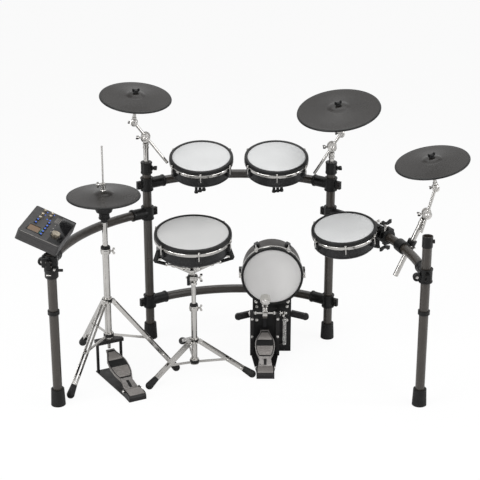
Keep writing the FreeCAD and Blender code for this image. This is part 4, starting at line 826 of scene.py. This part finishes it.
def dress_drum(name, body, where, rim_r, lug_turn, mount_lug=None):
    """Chrome counter-hoop under the rubber, with its claws, tension rods and lug covers."""
    shell_r = rim_r - HOOP_BAND
    band = bmesh.new()
    lathe(band, [(rim_r - 1.6, -26), (rim_r + 0.2, -26.5), (rim_r + 0.9, -25), (rim_r + 0.5, -16),
                 (rim_r + 1.4, -14.5), (rim_r + 0.4, -13), (rim_r - 1.6, -13)], 96)
    make(name + "_counter_hoop", band, "chrome", body, where)
    lip = bmesh.new()
    lathe(lip, [(shell_r - 4, 0.5), (shell_r - 3, 3.4), (shell_r + 1, 4.6), (rim_r - 4, 4.4), (rim_r, 1.0),
                (rim_r + 0.9, -5), (rim_r + 0.6, -13), (rim_r - 1.5, -13.5), (rim_r - 2, 0),
                (shell_r - 2, 0.3)], 96)
    make(name + "_rubber_rim", lip, "rim_rubber", body, where)
    rods = bmesh.new()
    covers = bmesh.new()
    for index in range(LUG_COUNT):
        if index == mount_lug:
            continue
        turn = turn_z(lug_turn + index * 360 / LUG_COUNT)
        out = rim_r + 5
        tube(rods, [turn @ Vector((out, 0, -2)), turn @ Vector((out, 0, -44))], 2.6)
        hex_bolt(rods, turn @ shift(out, 0, -9), 7.5, 7)
        slab(rods, (9, 13, 6), turn @ shift(rim_r + 3, 0, -14), 1.2)
        slab(covers, (14, 21, 27), turn @ shift(shell_r + 7, 0, -42), 3.0, 3)
    make(name + "_tension_rods", rods, "chrome", body, where)
    make(name + "_lug_covers", covers, "shell_plastic", body, where)
    foot = bmesh.new()
    lathe(foot, [(shell_r - 1, -74), (shell_r + 1.2, -73), (shell_r + 1.6, -70), (shell_r + 1.2, -67),
                 (shell_r - 1, -66)], 96)
    make(name + "_shell_bead", foot, "shell_plastic", body, where)


def dress_drums():
    for name, (where, rim_r, turn, body) in DRUMS.items():
        dress_drum(name, body, where, rim_r, turn, MOUNT_LUG.get(name))
        dress_head(name, body, where, rim_r - HOOP_BAND)


# Cymbal pads

CRASH_DIAMETER = 305
RIDE_DIAMETER = 355
CYMBAL_TURN = 20
HIHAT_CYMBAL_Z = 812


def boom_seat(boom):
    """Underside of a cymbal's bore on its boom."""
    ratchet, rise, lean, _ = BOOMS[boom]
    at = Vector(ratchet) + ROD_PLANE + Vector(rise) + Vector(lean).normalized() * STEM_REACH
    return seat(spot(*at), polar(1, CYMBAL_TURN), lean)


# Seat, diameter, body, and whether a wing nut holds the pad
CYMBALS = {
    "left_crash": (boom_seat("left"), CRASH_DIAMETER, "left_crash", True),
    "ride": (boom_seat("middle"), RIDE_DIAMETER, "ride", True),
    "right_crash": (boom_seat("right"), CRASH_DIAMETER, "right_crash", True),
    "hihat": (seat(spot(*HIHAT_AXIS, HIHAT_CYMBAL_Z), ALONG_X, UP), CRASH_DIAMETER, "hihat_rod", False),
}
BORE_R = 7.5
PAD_THICKNESS = 7
BELL_DROP = 11
BELL_CURVE = ((0.0, 0.0), (0.3, 0.08), (0.6, 0.36), (0.85, 0.75), (1.15, 1.0))


def cymbal_edge(diameter):
    """Radius and height of a cymbal's edge, and its bell's radius."""
    bell_r = diameter * 0.145
    return diameter / 2, -BELL_DROP - (diameter / 2 - bell_r) * 0.06, bell_r


def cymbal_line(diameter):
    """Smooth section of a cymbal pad, from its bore over the top to the edge and back below."""
    edge_r, edge_z, bell_r = cymbal_edge(diameter)
    bell = [(BORE_R + (bell_r - BORE_R) * out, -BELL_DROP * fall) for out, fall in BELL_CURVE]
    bow = [(edge_r * 0.65, edge_z * 0.5 - 0.5), (edge_r - 12, edge_z + 5.6), (edge_r - 4, edge_z + 4.2),
           (edge_r, edge_z + 0.4)]
    upper = [(r, z + PAD_THICKNESS) for r, z in bell] + bow
    lower = [(edge_r - 2, edge_z - 1.5), (edge_r - 10, edge_z)] + list(reversed(bell))
    return smooth_line(upper, 6)[:-1] + smooth_line(lower, 3)


def dress_cymbal(name, where, diameter, body, nut):
    work = bmesh.new()
    lathe(work, cymbal_line(diameter), 128)
    pad = make(name + "_pad", work, "cymbal_rubber", body, where, 50)
    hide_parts(name + "_cymbal")
    edge_r, edge_z, _ = cymbal_edge(diameter)
    rim = bmesh.new()
    lathe(rim, [(edge_r - 8, edge_z + 5.2), (edge_r - 5, edge_z + 5.6), (edge_r - 1.5, edge_z + 4.2),
                (edge_r, edge_z + 1), (edge_r - 0.1, edge_z - 0.6), (edge_r - 2, edge_z - 1.6),
                (edge_r - 3, edge_z)], 128)
    make(name + "_edge_bead", rim, "rim_rubber", body, where, 50)
    if not nut:
        return
    knob = bmesh.new()
    lathe(knob, [(6.7, 7.2), (11, 7.2), (11, 9.5), (9.6, 10.5), (9, 18.5), (7, 20), (CORE, 20.3),
                 (CORE, 17), (6.7, 17)], 32)
    half = [(5, 19), (12, 26), (16.5, 23), (15, 13), (8, 11)]
    outline = [(-x, y) for x, y in half[3::-1]] + half + [(-8, 11)]
    plate(knob, outline, -3, 3, TO_FRONT, 1.2)
    make(name + "_wing_nut", knob, "black_rubber", body, where)


def dress_cymbals():
    for name, (where, diameter, body, nut) in CYMBALS.items():
        dress_cymbal(name, where, diameter, body, nut)


# Hi-hat and snare stands

# Heights of the legs' hub, the braces' collar, the clamp band and what stands above
HIHAT_HUB_Z = 331
HIHAT_BRACE_Z = 170
HIHAT_BAND_Z = 554
CONTROLLER_Z = 757
CLUTCH_GRIP_Z = 845
SNARE_HUB_Z = 138
SNARE_BRACE_Z = 40
SNARE_BAND_Z = 289
SNARE_TILTER_Z = 428
SNARE_TILTER_TEETH = toothed(18.4, 16.9, 28)
SNARE_WING = (14, 36)   # reach and span


def leg_rivets(work, axis, first_turn, spread, collar_z):
    """Rivet heads on both sides of each leg, where its collar, brace and boot are pinned."""
    for step in range(3):
        out = polar(1, first_turn + step * 120)
        side = Vector((-out.y, out.x, 0))
        top = axis + out * 21 + UP * collar_z
        foot = axis + out * spread + UP * 13
        for share in (0.05, 0.55, 0.8):
            for way in (-1, 1):
                rivet(work, seat(top.lerp(foot, share) + side * (way * 10), UP, side * way))


def dress_hihat_stand():
    axis = Vector((*HIHAT_AXIS, 0))
    post = shift(*axis)
    nylon = bmesh.new()
    lathe(nylon, [(11.6, 564), (19.6, 564), (20.6, 568), (19.6, 574), (15, 578), (11.6, 578)], 40, post)
    for z in (HIHAT_HUB_Z, HIHAT_BRACE_Z):
        ring(nylon, 19.6, 22, z - 8, z + 8, post, 40, 2.0)
    make("hihat_nylon_rings", nylon, "clamp_plastic", "rack_and_stands", PLAN)
    bright = bmesh.new()
    leg_rivets(bright, axis, 0, 284, HIHAT_HUB_Z)
    ring(bright, 19.8, 21.6, HIHAT_BAND_Z - 7, HIHAT_BAND_Z + 7, post, 40, 1.5)
    wing(bright, post @ shift(20, 0, HIHAT_BAND_Z) @ TO_RIGHT, 13, 30)
    wing(bright, post @ shift(0, -20, HIHAT_HUB_Z) @ TO_FRONT, 12, 30)
    make("hihat_stand_trim", bright, "chrome", "rack_and_stands", PLAN)
    dark = bmesh.new()
    for low, high in ((699, 705), (752, 756), (765, 770)):
        outer = 24 if low < 720 else 41
        ring(dark, outer - 2.5, outer, low, high, post, 56, 1.5)
    slab(dark, (20, 26, 18), post @ shift(-36, -8, CONTROLLER_Z), 3.0, 3)
    ring(dark, 11.0, 15, 683, 697, post, 36, 2.0)
    make("hihat_controller_trim", dark, "clamp_plastic", "hihat_height", PLAN)
    clutch = bmesh.new()
    lathe(clutch, [(8, 819.4), (12, 819.4), (12.6, 822), (11, 824.5), (9.7, 825.5), (9.7, 838), (8, 838)],
          36, post)
    plate(clutch, toothed(11.2, 10.3, 26), 838, 852, post, 0.6)
    wing(clutch, post @ shift(-10, 0, CLUTCH_GRIP_Z) @ TO_LEFT, 11, 26)
    button(clutch, 4.4, 1006, 1011.8, post, 20, 2.0)
    make("hihat_clutch_trim", clutch, "chrome", "hihat_rod", PLAN)


def dress_snare_stand():
    axis = Vector((SNARE_AT[0], SNARE_AT[1], 0))
    post = shift(*axis)
    nylon = bmesh.new()
    lathe(nylon, [(9.9, 299.5), (17, 299.5), (18, 303), (16, 309), (9.9, 311)], 36, post)
    for z in (SNARE_HUB_Z, SNARE_BRACE_Z):
        ring(nylon, 18, 20.4, z - 8, z + 8, post, 40, 2.0)
    make("snare_nylon_rings", nylon, "clamp_plastic", "rack_and_stands", PLAN)
    bright = bmesh.new()
    leg_rivets(bright, axis, 104, 256, SNARE_HUB_Z)
    ring(bright, 18, 20, SNARE_BAND_Z - 7, SNARE_BAND_Z + 7, post, 40, 1.5)
    wing(bright, post @ shift(18, 0, SNARE_BAND_Z) @ TO_RIGHT, 12, 30)
    wing(bright, post @ shift(0, -19, SNARE_HUB_Z) @ TO_FRONT, 12, 30)
    make("snare_stand_trim", bright, "chrome", "rack_and_stands", PLAN)
    tilter = post @ shift(0, 0, SNARE_TILTER_Z) @ TO_RIGHT
    fixed = bmesh.new()
    plate(fixed, SNARE_TILTER_TEETH, 0.8, 6, tilter, 0.3)
    button(fixed, 12.5, 14, 19, tilter, 32, 2.0)
    wing(fixed, tilter @ shift(0, 0, 17), *SNARE_WING)
    ring(fixed, 9.2, 14, 395, 409, post, 32, 2.0)
    make("snare_tilter_screw", fixed, "satin_chrome", "snare_height", PLAN)
    tips = bmesh.new()
    wing_tips(tips, tilter @ shift(0, 0, 17), *SNARE_WING)
    make("snare_tilter_wing_tips", tips, "black_rubber", "snare_height", PLAN)


GRIP_TURNS = (205, 345, 95)
BASKET_OFF = 7.5   # the basket's hub stands left of the tube by this
CROTCH_Z = 462


def dress_basket():
    """Black sleeves on the basket's grips and arms, its knurled nut and its tilter block."""
    where = DRUMS["snare"][0]
    shell_r = SNARE_RIM_R - HOOP_BAND
    crotch = where.inverted() @ spot(SNARE_AT[0] - BASKET_OFF, SNARE_AT[1], CROTCH_Z) * 1000
    sleeves = bmesh.new()
    clevises = bmesh.new()
    for turn in GRIP_TURNS:
        knee = turn_z(turn) @ Vector((shell_r + 18.3, 0, -94))
        tip = turn_z(turn) @ Vector((shell_r + 4.3, 0, -54))
        across = turn_z(turn) @ ALONG_Y
        slab(sleeves, (11.5, 24, 50), seat(knee.lerp(tip, 0.5), tip.cross(across), tip - knee), 3.0, 3)
        inner = knee.lerp(crotch, 0.3)
        tube(sleeves, rounded([knee + (tip - knee) * 0.1, knee, inner], 0.06), 7.2, 16)
        ring(clevises, 5, 8.6, -6, 6, seat(inner, UP, crotch - knee), 24, 2.0)
        middle = crotch.lerp(knee, 0.5)
        tube(clevises, [crotch - UP * 16, middle], 4.0)
        ring(clevises, 4, 7.5, -7, 7, seat(middle, UP, crotch - knee), 24, 2.0)
        near = crotch.lerp(knee, 0.13)
        slab(clevises, (17, 17, 26), seat(near, across, knee - crotch), 3.0, 3)
        for way in (across, -across):
            rivet(clevises, seat(near + way * 8.5, UP, way), 4.4, 2.6)
    make("snare_grip_sleeves", sleeves, "black_rubber", "snare_drum", where)
    axis = shift(SNARE_AT[0] - BASKET_OFF, SNARE_AT[1], 0)
    local = where.inverted() @ PLAN
    hub = Matrix.Translation(local.to_translation() * 1000) @ local.to_3x3().to_4x4() @ axis
    plate(clevises, toothed(13, 12, 26), 446, 456, hub, 0.6)
    lathe(clevises, [(7, 456), (16, 457), (17, 460), (16, 466), (9, 471), (CORE, 472), (CORE, 456)],
          36, hub)
    make("snare_basket_hub_trim", clevises, "chrome", "snare_drum", where)
    block = bmesh.new()
    face = shift(SNARE_AT[0], SNARE_AT[1], SNARE_TILTER_Z) @ TO_LEFT
    button(block, 15, 15, 23, face, 32, 2.5)
    slab(block, (40, 15, 13), face @ shift(-14, 0, 21), 3.5, 3)
    make("snare_tilter_block", block, "clamp_plastic", "snare_drum", PLAN)
    bolt = bmesh.new()
    hex_bolt(bolt, face @ shift(0, 0, 27), 8, 5)
    make("snare_tilter_bolt", bolt, "satin_chrome", "snare_drum", PLAN)


# Pedals

BOARD_OUTLINE = ((0, 60.8), (0.2, 50), (0.38, 77), (0.55, 86), (0.72, 79), (0.92, 43), (1.0, 36))
PIN_BACK = 62
PIN_HEIGHT = 22
HIHAT_BOARD_RISE = 0.33
KICK_BOARD_RISE = 0.52
KICK_BOARD_LENGTH = 192.3


def board_shape(length, inset, first, last):
    """Footboard's outline between two shares of its length, drawn in by an inset."""
    line = smooth_line([(6 + length * share, width / 2) for share, width in BOARD_OUTLINE], 6)
    kept = [(x, y - inset) for x, y in line if first <= (x - 6) / length <= last]
    return kept + [(x, -y) for x, y in reversed(kept)]


def dress_board(name, body, heel, along, length, rise):
    """Silver footboard with a black line round its pebbled tread, and the heel's textured cover."""
    pin = Vector((*heel, PIN_HEIGHT)) + along * PIN_BACK
    slope = math.atan(rise)
    ahead = along * math.cos(slope) + UP * math.sin(slope)
    top = seat(pin, ahead, UP * math.cos(slope) - along * math.sin(slope))
    rim = bmesh.new()
    plate(rim, board_shape(length, 0.4, 0.0, 0.99), 3.2, 4.6, top, 0.5)
    make(name + "_board_rim", rim, "worn_rim", body, PLAN)
    line = bmesh.new()
    plate(line, board_shape(length, 4.5, 0.24, 0.97), 4.5, 5.2, top, 0.3)
    slab(line, (length * 0.17, 12, 1.2), top @ shift(6 + length * 0.11, 0, 4.8), 0.5)
    make(name + "_board_line", line, "black_rubber", body, PLAN)
    tread = bmesh.new()
    plate(tread, board_shape(length, 7.5, 0.28, 0.56), 5.0, 6.0, top, 0.4)
    plate(tread, board_shape(length, 7.5, 0.7, 0.94), 5.0, 6.0, top, 0.4)
    for step in range(5):
        share = 0.31 + step * 0.055
        slab(tread, (4.5, 44 + step * 5, 1.4), top @ shift(6 + length * share, 0, 6.2), 0.6)
    make(name + "_board_tread", tread, "pedal_metal", body, PLAN)
    cover = bmesh.new()
    flat = seat(Vector((*heel, 0)), along, UP)
    slab(cover, (27, 66, 2.2), flat @ shift(40, 0, 30.6), 0.9)
    slab(cover, (24, 66, 2.2), flat @ shift(16, 0, 29.2) @ Matrix.Rotation(math.radians(-8), 4, "Y"), 0.9)
    make(name + "_heel_cover", cover, "pedal_metal", "rack_and_stands", PLAN)
    bolts = bmesh.new()
    for side in (-1, 1):
        hex_bolt(bolts, flat @ shift(PIN_BACK, side * 38.5, PIN_HEIGHT) @ to_side(side), 9, 5)
    make(name + "_hinge_bolts", bolts, "satin_chrome", "rack_and_stands", PLAN)


def dress_pedals():
    reach = Vector((HIHAT_AXIS[0] - HIHAT_HEEL[0], HIHAT_AXIS[1] - HIHAT_HEEL[1], 0))
    dress_board("hihat", "hihat_board", HIHAT_HEEL, reach.normalized(), reach.length - PIN_BACK,
                HIHAT_BOARD_RISE)
    dress_board("kick", "kick_board", KICK_HEEL, ALONG_Y, KICK_BOARD_LENGTH, KICK_BOARD_RISE)


# Kick drum and its drive

AXLE_AT = Vector((113, 444, 204))
BEATER_AT = Vector((113, 361.7, 302))
BEATER_LEAN = math.radians(40)
STRAP_Y = 470.3
SPRING_TURNS = 22
SPRING_R = 8
SPRING_WIRE = 1.1
SPRING_MIDDLE = (197, 415)
SPRING_LOW = 68.5
SPRING_HIGH = 192.5
HOOK_Y = 423
HOOK_X = 193   # of the upper hook, on the rocker


def dress_kick_pad():
    """Kick head, rubber rim, chrome hoop, claws, rods and lugs on the shell behind."""
    pad = shift(*KICK_AT) @ TO_FRONT
    work = bmesh.new()
    lathe(work, [(CORE, -5.2), (60, -5.4), (110, -6), (123.5, -6.3), (123.5, -8.8), (CORE, -8.8)], 96, pad)
    head = make("kick_mesh", work, "kick_mesh", "rack_and_stands", PLAN, 50)
    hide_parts("kick_head")
    rim = bmesh.new()
    lathe(rim, [(124.2, -5), (124.6, 0), (126.6, 2.2), (130, 2.2), (132.8, 0.2), (133.8, -4), (133.8, -12),
                (132, -13), (124.2, -13)], 96, pad)
    make("kick_rubber_rim", rim, "rim_rubber", "rack_and_stands", PLAN)
    bright = bmesh.new()
    lathe(bright, [(131, -13.2), (134.2, -13.2), (135.4, -15), (134.8, -20), (135.4, -25), (134.2, -26.8),
                   (131, -26.8)], 96, pad)
    lugs = bmesh.new()
    for index in range(LUG_COUNT):
        turn = pad @ turn_z(60 * index)
        slab(bright, (9, 15, 26), turn @ shift(137.5, 0, -14), 2.0, 3)
        tube(bright, [turn @ Vector((141, 0, -24)), turn @ Vector((141, 0, -70))], 3.0)
        hex_bolt(bright, turn @ shift(138, 0, -1), 8, 6)
        slab(lugs, (18, 21, 36), turn @ shift(135, 0, -74), 4.0, 3)
    make("kick_claws_and_rods", bright, "chrome", "rack_and_stands", PLAN)
    make("kick_lugs", lugs, "shell_plastic", "rack_and_stands", PLAN)
    shell = bmesh.new()
    lathe(shell, [(126, -33), (127.8, -33.5), (128.2, -37), (127.8, -60), (127.8, -112), (127.2, -120),
                  (124, -122.6), (118, -122.8), (118, -121)], 96, pad)
    make("kick_shell_skin", shell, "kick_shell", "rack_and_stands", PLAN)


def dress_kick_tower():
    """Folded side edges, bolts and spur ends of the kick's upright plate."""
    folds = bmesh.new()
    bolts = bmesh.new()
    for side in (-1, 1):
        edge = shift(KICK_AT[0] + side * 82, 497, 0)
        slab(folds, (4, 20, 270), edge @ shift(0, 0, 139), 1.5)
        tip = Vector((KICK_AT[0] + side * 146, 477, 172.7))
        button(folds, 15.6, -8.5, 8.5, shift(*tip) @ TO_FRONT, 32, 2.5)
        for z in (150, 215):
            hex_bolt(bolts, shift(KICK_AT[0] + side * 66, 488, z) @ TO_FRONT, 9, 5)
    make("kick_tower_folds", folds, "kick_steel", "rack_and_stands", PLAN)
    make("kick_tower_bolts", bolts, "satin_chrome", "rack_and_stands", PLAN)


def dress_kick_drive():
    """Bearing bosses, axle collars and hub, the felt beater, the strap and the pull spring."""
    axle = shift(*AXLE_AT) @ TO_RIGHT
    bosses = bmesh.new()
    for side in (-1, 1):
        low, high = sorted((side * 64.2, side * 68))
        ring(bosses, 5.6, 13, low, high, axle, 36, 1.2)
        for z in (180, 96):
            hex_bolt(bosses, shift(AXLE_AT.x + side * 56, 432.8, z) @ TO_FRONT, 8, 5)
    make("kick_bearing_bosses", bosses, "satin_chrome", "rack_and_stands", PLAN)
    collars = bmesh.new()
    for low, high in ((-46, -36), (36, 46), (74, 79), (83, 88)):
        ring(collars, 4.6, 9.5, low, high, axle, 32, 1.5)
    shaft_way = BEATER_AT - AXLE_AT
    out = shaft_way.normalized()
    slab(collars, (23, 22, 26), seat(AXLE_AT + out * 22, ALONG_X, shaft_way), 3.5, 3)
    wing(collars, seat(AXLE_AT + out * 24, ALONG_X, shaft_way.cross(ALONG_X)) @ shift(0, 0, 10), 11, 26)
    make("kick_axle_collars", collars, "chrome", "kick_beater_axle", PLAN)
    strike = seat(BEATER_AT, ALONG_X, (0, math.cos(BEATER_LEAN), math.sin(BEATER_LEAN)))
    wool = bmesh.new()
    lathe(wool, [(CORE, 22.8), (14, 22.6), (19.5, 20.5), (21.9, 16), (21.9, -4), (20.5, -6.5),
                 (CORE, -6.5)], 48, strike)
    beater = make("kick_beater_felt", wool, "beater_felt", "kick_beater_axle", PLAN, 50)
    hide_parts("kick_beater")
    wedge = bmesh.new()
    lathe(wedge, [(CORE, -6.5), (20, -6.5), (20.6, -9), (18, -14), (12, -20.5), (CORE, -22.8)], 40, strike)
    make("kick_beater_wedge", wedge, "satin_chrome", "kick_beater_axle", PLAN)
    dress_strap()
    dress_spring()


def dress_strap():
    """Drive strap with its stitches and its two doubled ends."""
    middle = shift(AXLE_AT.x, STRAP_Y, 0)
    web = bmesh.new()
    slab(web, (14, 3.2, 79), middle @ shift(0, 0, 164), 1.2)
    for z in (136, 192):
        slab(web, (13.6, 3.9, 15), middle @ shift(0, 0, z), 0.8)
    for step in range(12):
        for side in (-5, 5):
            slab(web, (1.2, 3.9, 2.6), middle @ shift(side, 0, 145 + step * 3.5), 0.4, 1)
    strap = make("kick_strap", web, "strap_web", "kick_strap", PLAN)
    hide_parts("kick_drive_strap")


def dress_spring():
    """Pull spring: one wire wound about an upright line, its ends bent to the anchor and the rocker."""
    x, y = SPRING_MIDDLE
    wire = [Vector((201, HOOK_Y, 62.4)), Vector((201, HOOK_Y, 65)), Vector((199.8, HOOK_Y, 67.3))]
    steps = SPRING_TURNS * 16
    for step in range(steps + 1):
        share = step / steps
        angle = 2 * math.pi * SPRING_TURNS * share
        wire.append(Vector((x - SPRING_R * math.sin(angle), y + SPRING_R * math.cos(angle),
                            SPRING_LOW + (SPRING_HIGH - SPRING_LOW) * share)))
    wire += [Vector((194.2, HOOK_Y, 193.7)), Vector((HOOK_X, HOOK_Y, 196)), Vector((HOOK_X, HOOK_Y, 198.6))]
    work = bmesh.new()
    tube(work, wire, SPRING_WIRE, 8)
    spring = make("kick_pull_spring", work, "spring_steel", None, PLAN, 60)
    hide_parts("kick_spring")
    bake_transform(spring)


# Sound module, in the case's own frame: X along the case towards the player, Z out of its face

MODULE_FRAME = seat(spot(*MODULE_AT), (-0.157, -0.9876, 0), (0.3763, -0.0598, 0.9245))
SMALL_KNOBS = ((-105, -44), (-68, -44), (-32, -44), (-106, -13), (-77, -13))
KEYS = ((-25, -2), (5, -2), (34, -2), (63, -2), (92, -2), (-17, -48), (13, -48))
LAMPS = ((-110, -34), (-78, -35), (-110, -5), (-50, -18), (-51, -5))
DIAL = (54, 48)
DISPLAY = (68, -38, 50, 46)
KEY_HOLE = (17.4, 10.4)
KEY_CAP = (9.5, 6.0, 1.0)
CASE_SEAMS = (-12, -30)


def frame_strips(work, x, y, width, depth, band, low, high):
    """Four strips round an opening."""
    rise = (low + high) / 2
    thick = high - low
    for side in (-1, 1):
        slab(work, (width + 2 * band, band, thick), shift(x, y + side * (depth + band) / 2, rise), 0.4)
        slab(work, (band, depth, thick), shift(x + side * (width + band) / 2, y, rise), 0.4)


def dress_module():
    """Face of the sound module: panels, grooves, rims of the display and keys, lamps, knob caps, and a
    painted highlight along its front-top edge.
    """
    dark = bmesh.new()
    slab(dark, (238, 52, 1.2), shift(0, 58, 0.3), 0.5)
    frame_strips(dark, *DISPLAY, 5, -0.2, 1.1)
    for x, y in KEYS:
        frame_strips(dark, x, y, *KEY_HOLE, 2.0, -0.2, 0.9)
    ring(dark, 17.6, 21.5, 0, 1.8, shift(*DIAL, 0), 48, 0.8)
    make("module_black_panel", dark, "gloss_black", "module", MODULE_FRAME)
    pale = bmesh.new()
    # painted highlight: this pale strip along the front-top edge stands in for light on the edge's bevel
    slab(pale, (2.4, 158, 2.4), shift(130.6, 0, -0.8), 0.9)
    for step in range(5):
        slab(pale, (52, 1.4, 0.8), shift(-78, 14 + step * 5.2, 0.2), 0.3)
    for x in (-30, 2, 34):
        slab(pale, (6, 3, 0.8), shift(x, 24, 0.2), 0.3)
    make("module_pale_lines_and_painted_highlight", pale, "pale_marks_and_painted_highlight", "module", MODULE_FRAME)
    strip = bmesh.new()
    slab(strip, (50, 6, 1.4), shift(68, -10.5, 0.4), 0.5)
    make("module_teal_strip", strip, "teal_strip", "module", MODULE_FRAME)
    lamps = bmesh.new()
    for x, y in LAMPS:
        slab(lamps, (7.5, 5, 1.6), shift(x, y, 0.5), 0.6)
    make("module_lamps", lamps, "key_plastic", "module", MODULE_FRAME)
    seams = bmesh.new()
    for z in CASE_SEAMS:
        slab(seams, (264.2, 150, 0.8), shift(0, 0, z), 0.3)
        slab(seams, (240, 175.2, 0.8), shift(0, 0, z), 0.3)
    make("module_case_seams", seams, "clamp_plastic", "module", MODULE_FRAME)
    caps = bmesh.new()
    for x, y in SMALL_KNOBS:
        plate(caps, toothed(6.9, 6.3, 14), 0.6, 8.5, shift(x, y, 0), 0.3)
        lathe(caps, [(CORE, 11), (4, 11), (5.8, 10.2), (6.2, 8.5), (CORE, 8.5)], 28, shift(x, y, 0))
        slab(caps, (5, 1.2, 0.8), shift(x + 3, y, 11), 0.3)
    make("module_knob_caps", caps, "knob_metal", "module", MODULE_FRAME)
    dial = bmesh.new()
    plate(dial, toothed(17.6, 16.8, 30), 1.2, 11, shift(*DIAL, 0), 0.3)
    lathe(dial, [(CORE, 14.4), (6, 14.4), (12, 14.8), (15.5, 15.2), (17, 14), (17.4, 11), (CORE, 11)],
          48, shift(*DIAL, 0))
    finger_spot = shift(DIAL[0] + 9, DIAL[1] - 2, 0)
    lathe(dial, [(CORE, 15.6), (3, 15.4), (4.2, 14.2), (CORE, 14.2)], 24, finger_spot)
    make("module_dial_cap", dial, "knob_metal", "module_dial_turn", MODULE_FRAME)
    keys = bmesh.new()
    for x, y in KEYS:
        slab(keys, KEY_CAP, shift(x, y, 2.8), 0.45)
    make("module_key_caps", keys, "key_plastic", "module_key_press", MODULE_FRAME)


# Studio

FLOOR_REACH = 40.0
FLOOR_DROP = 0.0005   # metres below the feet
PAPER_GLOW = 0.93   # share of plain white in what the camera sees of the floor
AIR_LIGHT = 0.28
# Name, place, aim, width, height, power
SOFTBOXES = (
    ("key_softbox", (-2.2, -2.6, 3.4), (0, 0, 0.5), 2.2, 2.2, 100),
    ("fill_softbox", (2.8, -2.2, 2.4), (0, 0, 0.5), 2.0, 2.0, 45),
    ("top_softbox", (0.2, 0.8, 3.6), (0, 0.1, 0.5), 2.4, 2.4, 48),
    ("left_strip", (-3.0, -1.4, 1.3), (0, 0, 0.6), 0.35, 2.4, 42),
    ("right_strip", (3.0, -0.6, 1.3), (0, 0, 0.6), 0.35, 2.4, 30),
)
CAMERA_AT = (5, -5222, 2835)
CAMERA_PITCH = 22
SENSOR_WIDTH = 36
LENS_LENGTH = 108


def studio_paper():
    material, tree, shader = surface("pale_studio_paper",
                                     {"Base Color": hex_linear("f2f2f2"), "Roughness": 0.9})
    glow = add(tree, "Emission", values={"Color": (1, 1, 1, 1), "Strength": 1.0})
    path = add(tree, "LightPath")
    share = add(tree, "Math", {"operation": "MULTIPLY"}, {1: PAPER_GLOW},
                {0: path.outputs["Is Camera Ray"]})
    blend = add(tree, "MixShader", links={0: share.outputs[0], 1: shader.outputs[0], 2: glow.outputs[0]})
    tree.links.new(blend.outputs[0], tree.nodes["Material Output"].inputs["Surface"])
    return material


def studio_floor():
    mesh = bpy.data.meshes.new("studio_floor")
    square = ((-1, -1), (1, -1), (1, 1), (-1, 1))
    corners = [(x * FLOOR_REACH, y * FLOOR_REACH, -FLOOR_DROP) for x, y in square]
    mesh.from_pydata(corners, [], [(0, 1, 2, 3)])
    floor = bpy.data.objects.new("studio_floor", mesh)
    bpy.context.scene.collection.objects.link(floor)
    mesh.materials.append(studio_paper())


def studio_air():
    """World that lights softly, and is white to the camera and in metal and glass."""
    world = bpy.data.worlds.new("studio_air")
    bpy.context.scene.world = world
    world.use_nodes = True
    tree = world.node_tree
    path = add(tree, "LightPath")
    clear = add(tree, "Math", {"operation": "MAXIMUM"},
                links={0: path.outputs["Is Glossy Ray"], 1: path.outputs["Is Transmission Ray"]})
    seen = add(tree, "Math", {"operation": "MAXIMUM"},
               links={0: path.outputs["Is Camera Ray"], 1: clear.outputs[0]})
    strength = add(tree, "MapRange", values={"To Min": AIR_LIGHT, "To Max": 1.0},
                   links={"Value": seen.outputs[0]})
    backdrop = tree.nodes["Background"]
    backdrop.inputs["Color"].default_value = (1, 1, 1, 1)
    tree.links.new(strength.outputs["Result"], backdrop.inputs["Strength"])


def studio_lamps():
    for name, place, aim, width, height, power in SOFTBOXES:
        light = bpy.data.lights.new(name, "AREA")
        light.shape = "RECTANGLE"
        light.size = width
        light.size_y = height
        light.energy = power
        lamp = bpy.data.objects.new(name, light)
        lamp.location = place
        lamp.rotation_euler = (Vector(aim) - Vector(place)).to_track_quat("-Z", "Y").to_euler()
        bpy.context.scene.collection.objects.link(lamp)


def camera():
    """Camera at the photograph's height and pitch."""
    lens = bpy.data.cameras.new("camera")
    lens.sensor_width = SENSOR_WIDTH
    lens.lens = LENS_LENGTH
    shooter = bpy.data.objects.new("camera", lens)
    shooter.location = spot(*CAMERA_AT)
    shooter.rotation_euler = (math.radians(90 - CAMERA_PITCH), 0, 0)
    bpy.context.scene.collection.objects.link(shooter)
    bpy.context.scene.camera = shooter


def finish_nodes():
    """Every CAD node takes the finish of its record slot."""
    for part in frame["record"]["subparts"]:
        mesh = nodes[part["node"]].data
        mesh.materials.clear()
        mesh.materials.append(finishes[NODE_FINISH.get(part["node"], part["material_slot"])])


bpy.context.scene.view_settings.view_transform = "Standard"
finish_nodes()
dress_clamps()
dress_front_posts()
dress_rear_collars()
dress_mounts()
dress_booms()
dress_drums()
dress_cymbals()
dress_hihat_stand()
dress_snare_stand()
dress_basket()
dress_pedals()
dress_kick_pad()
dress_kick_tower()
dress_kick_drive()
dress_module()
studio_floor()
studio_air()
studio_lamps()
camera()
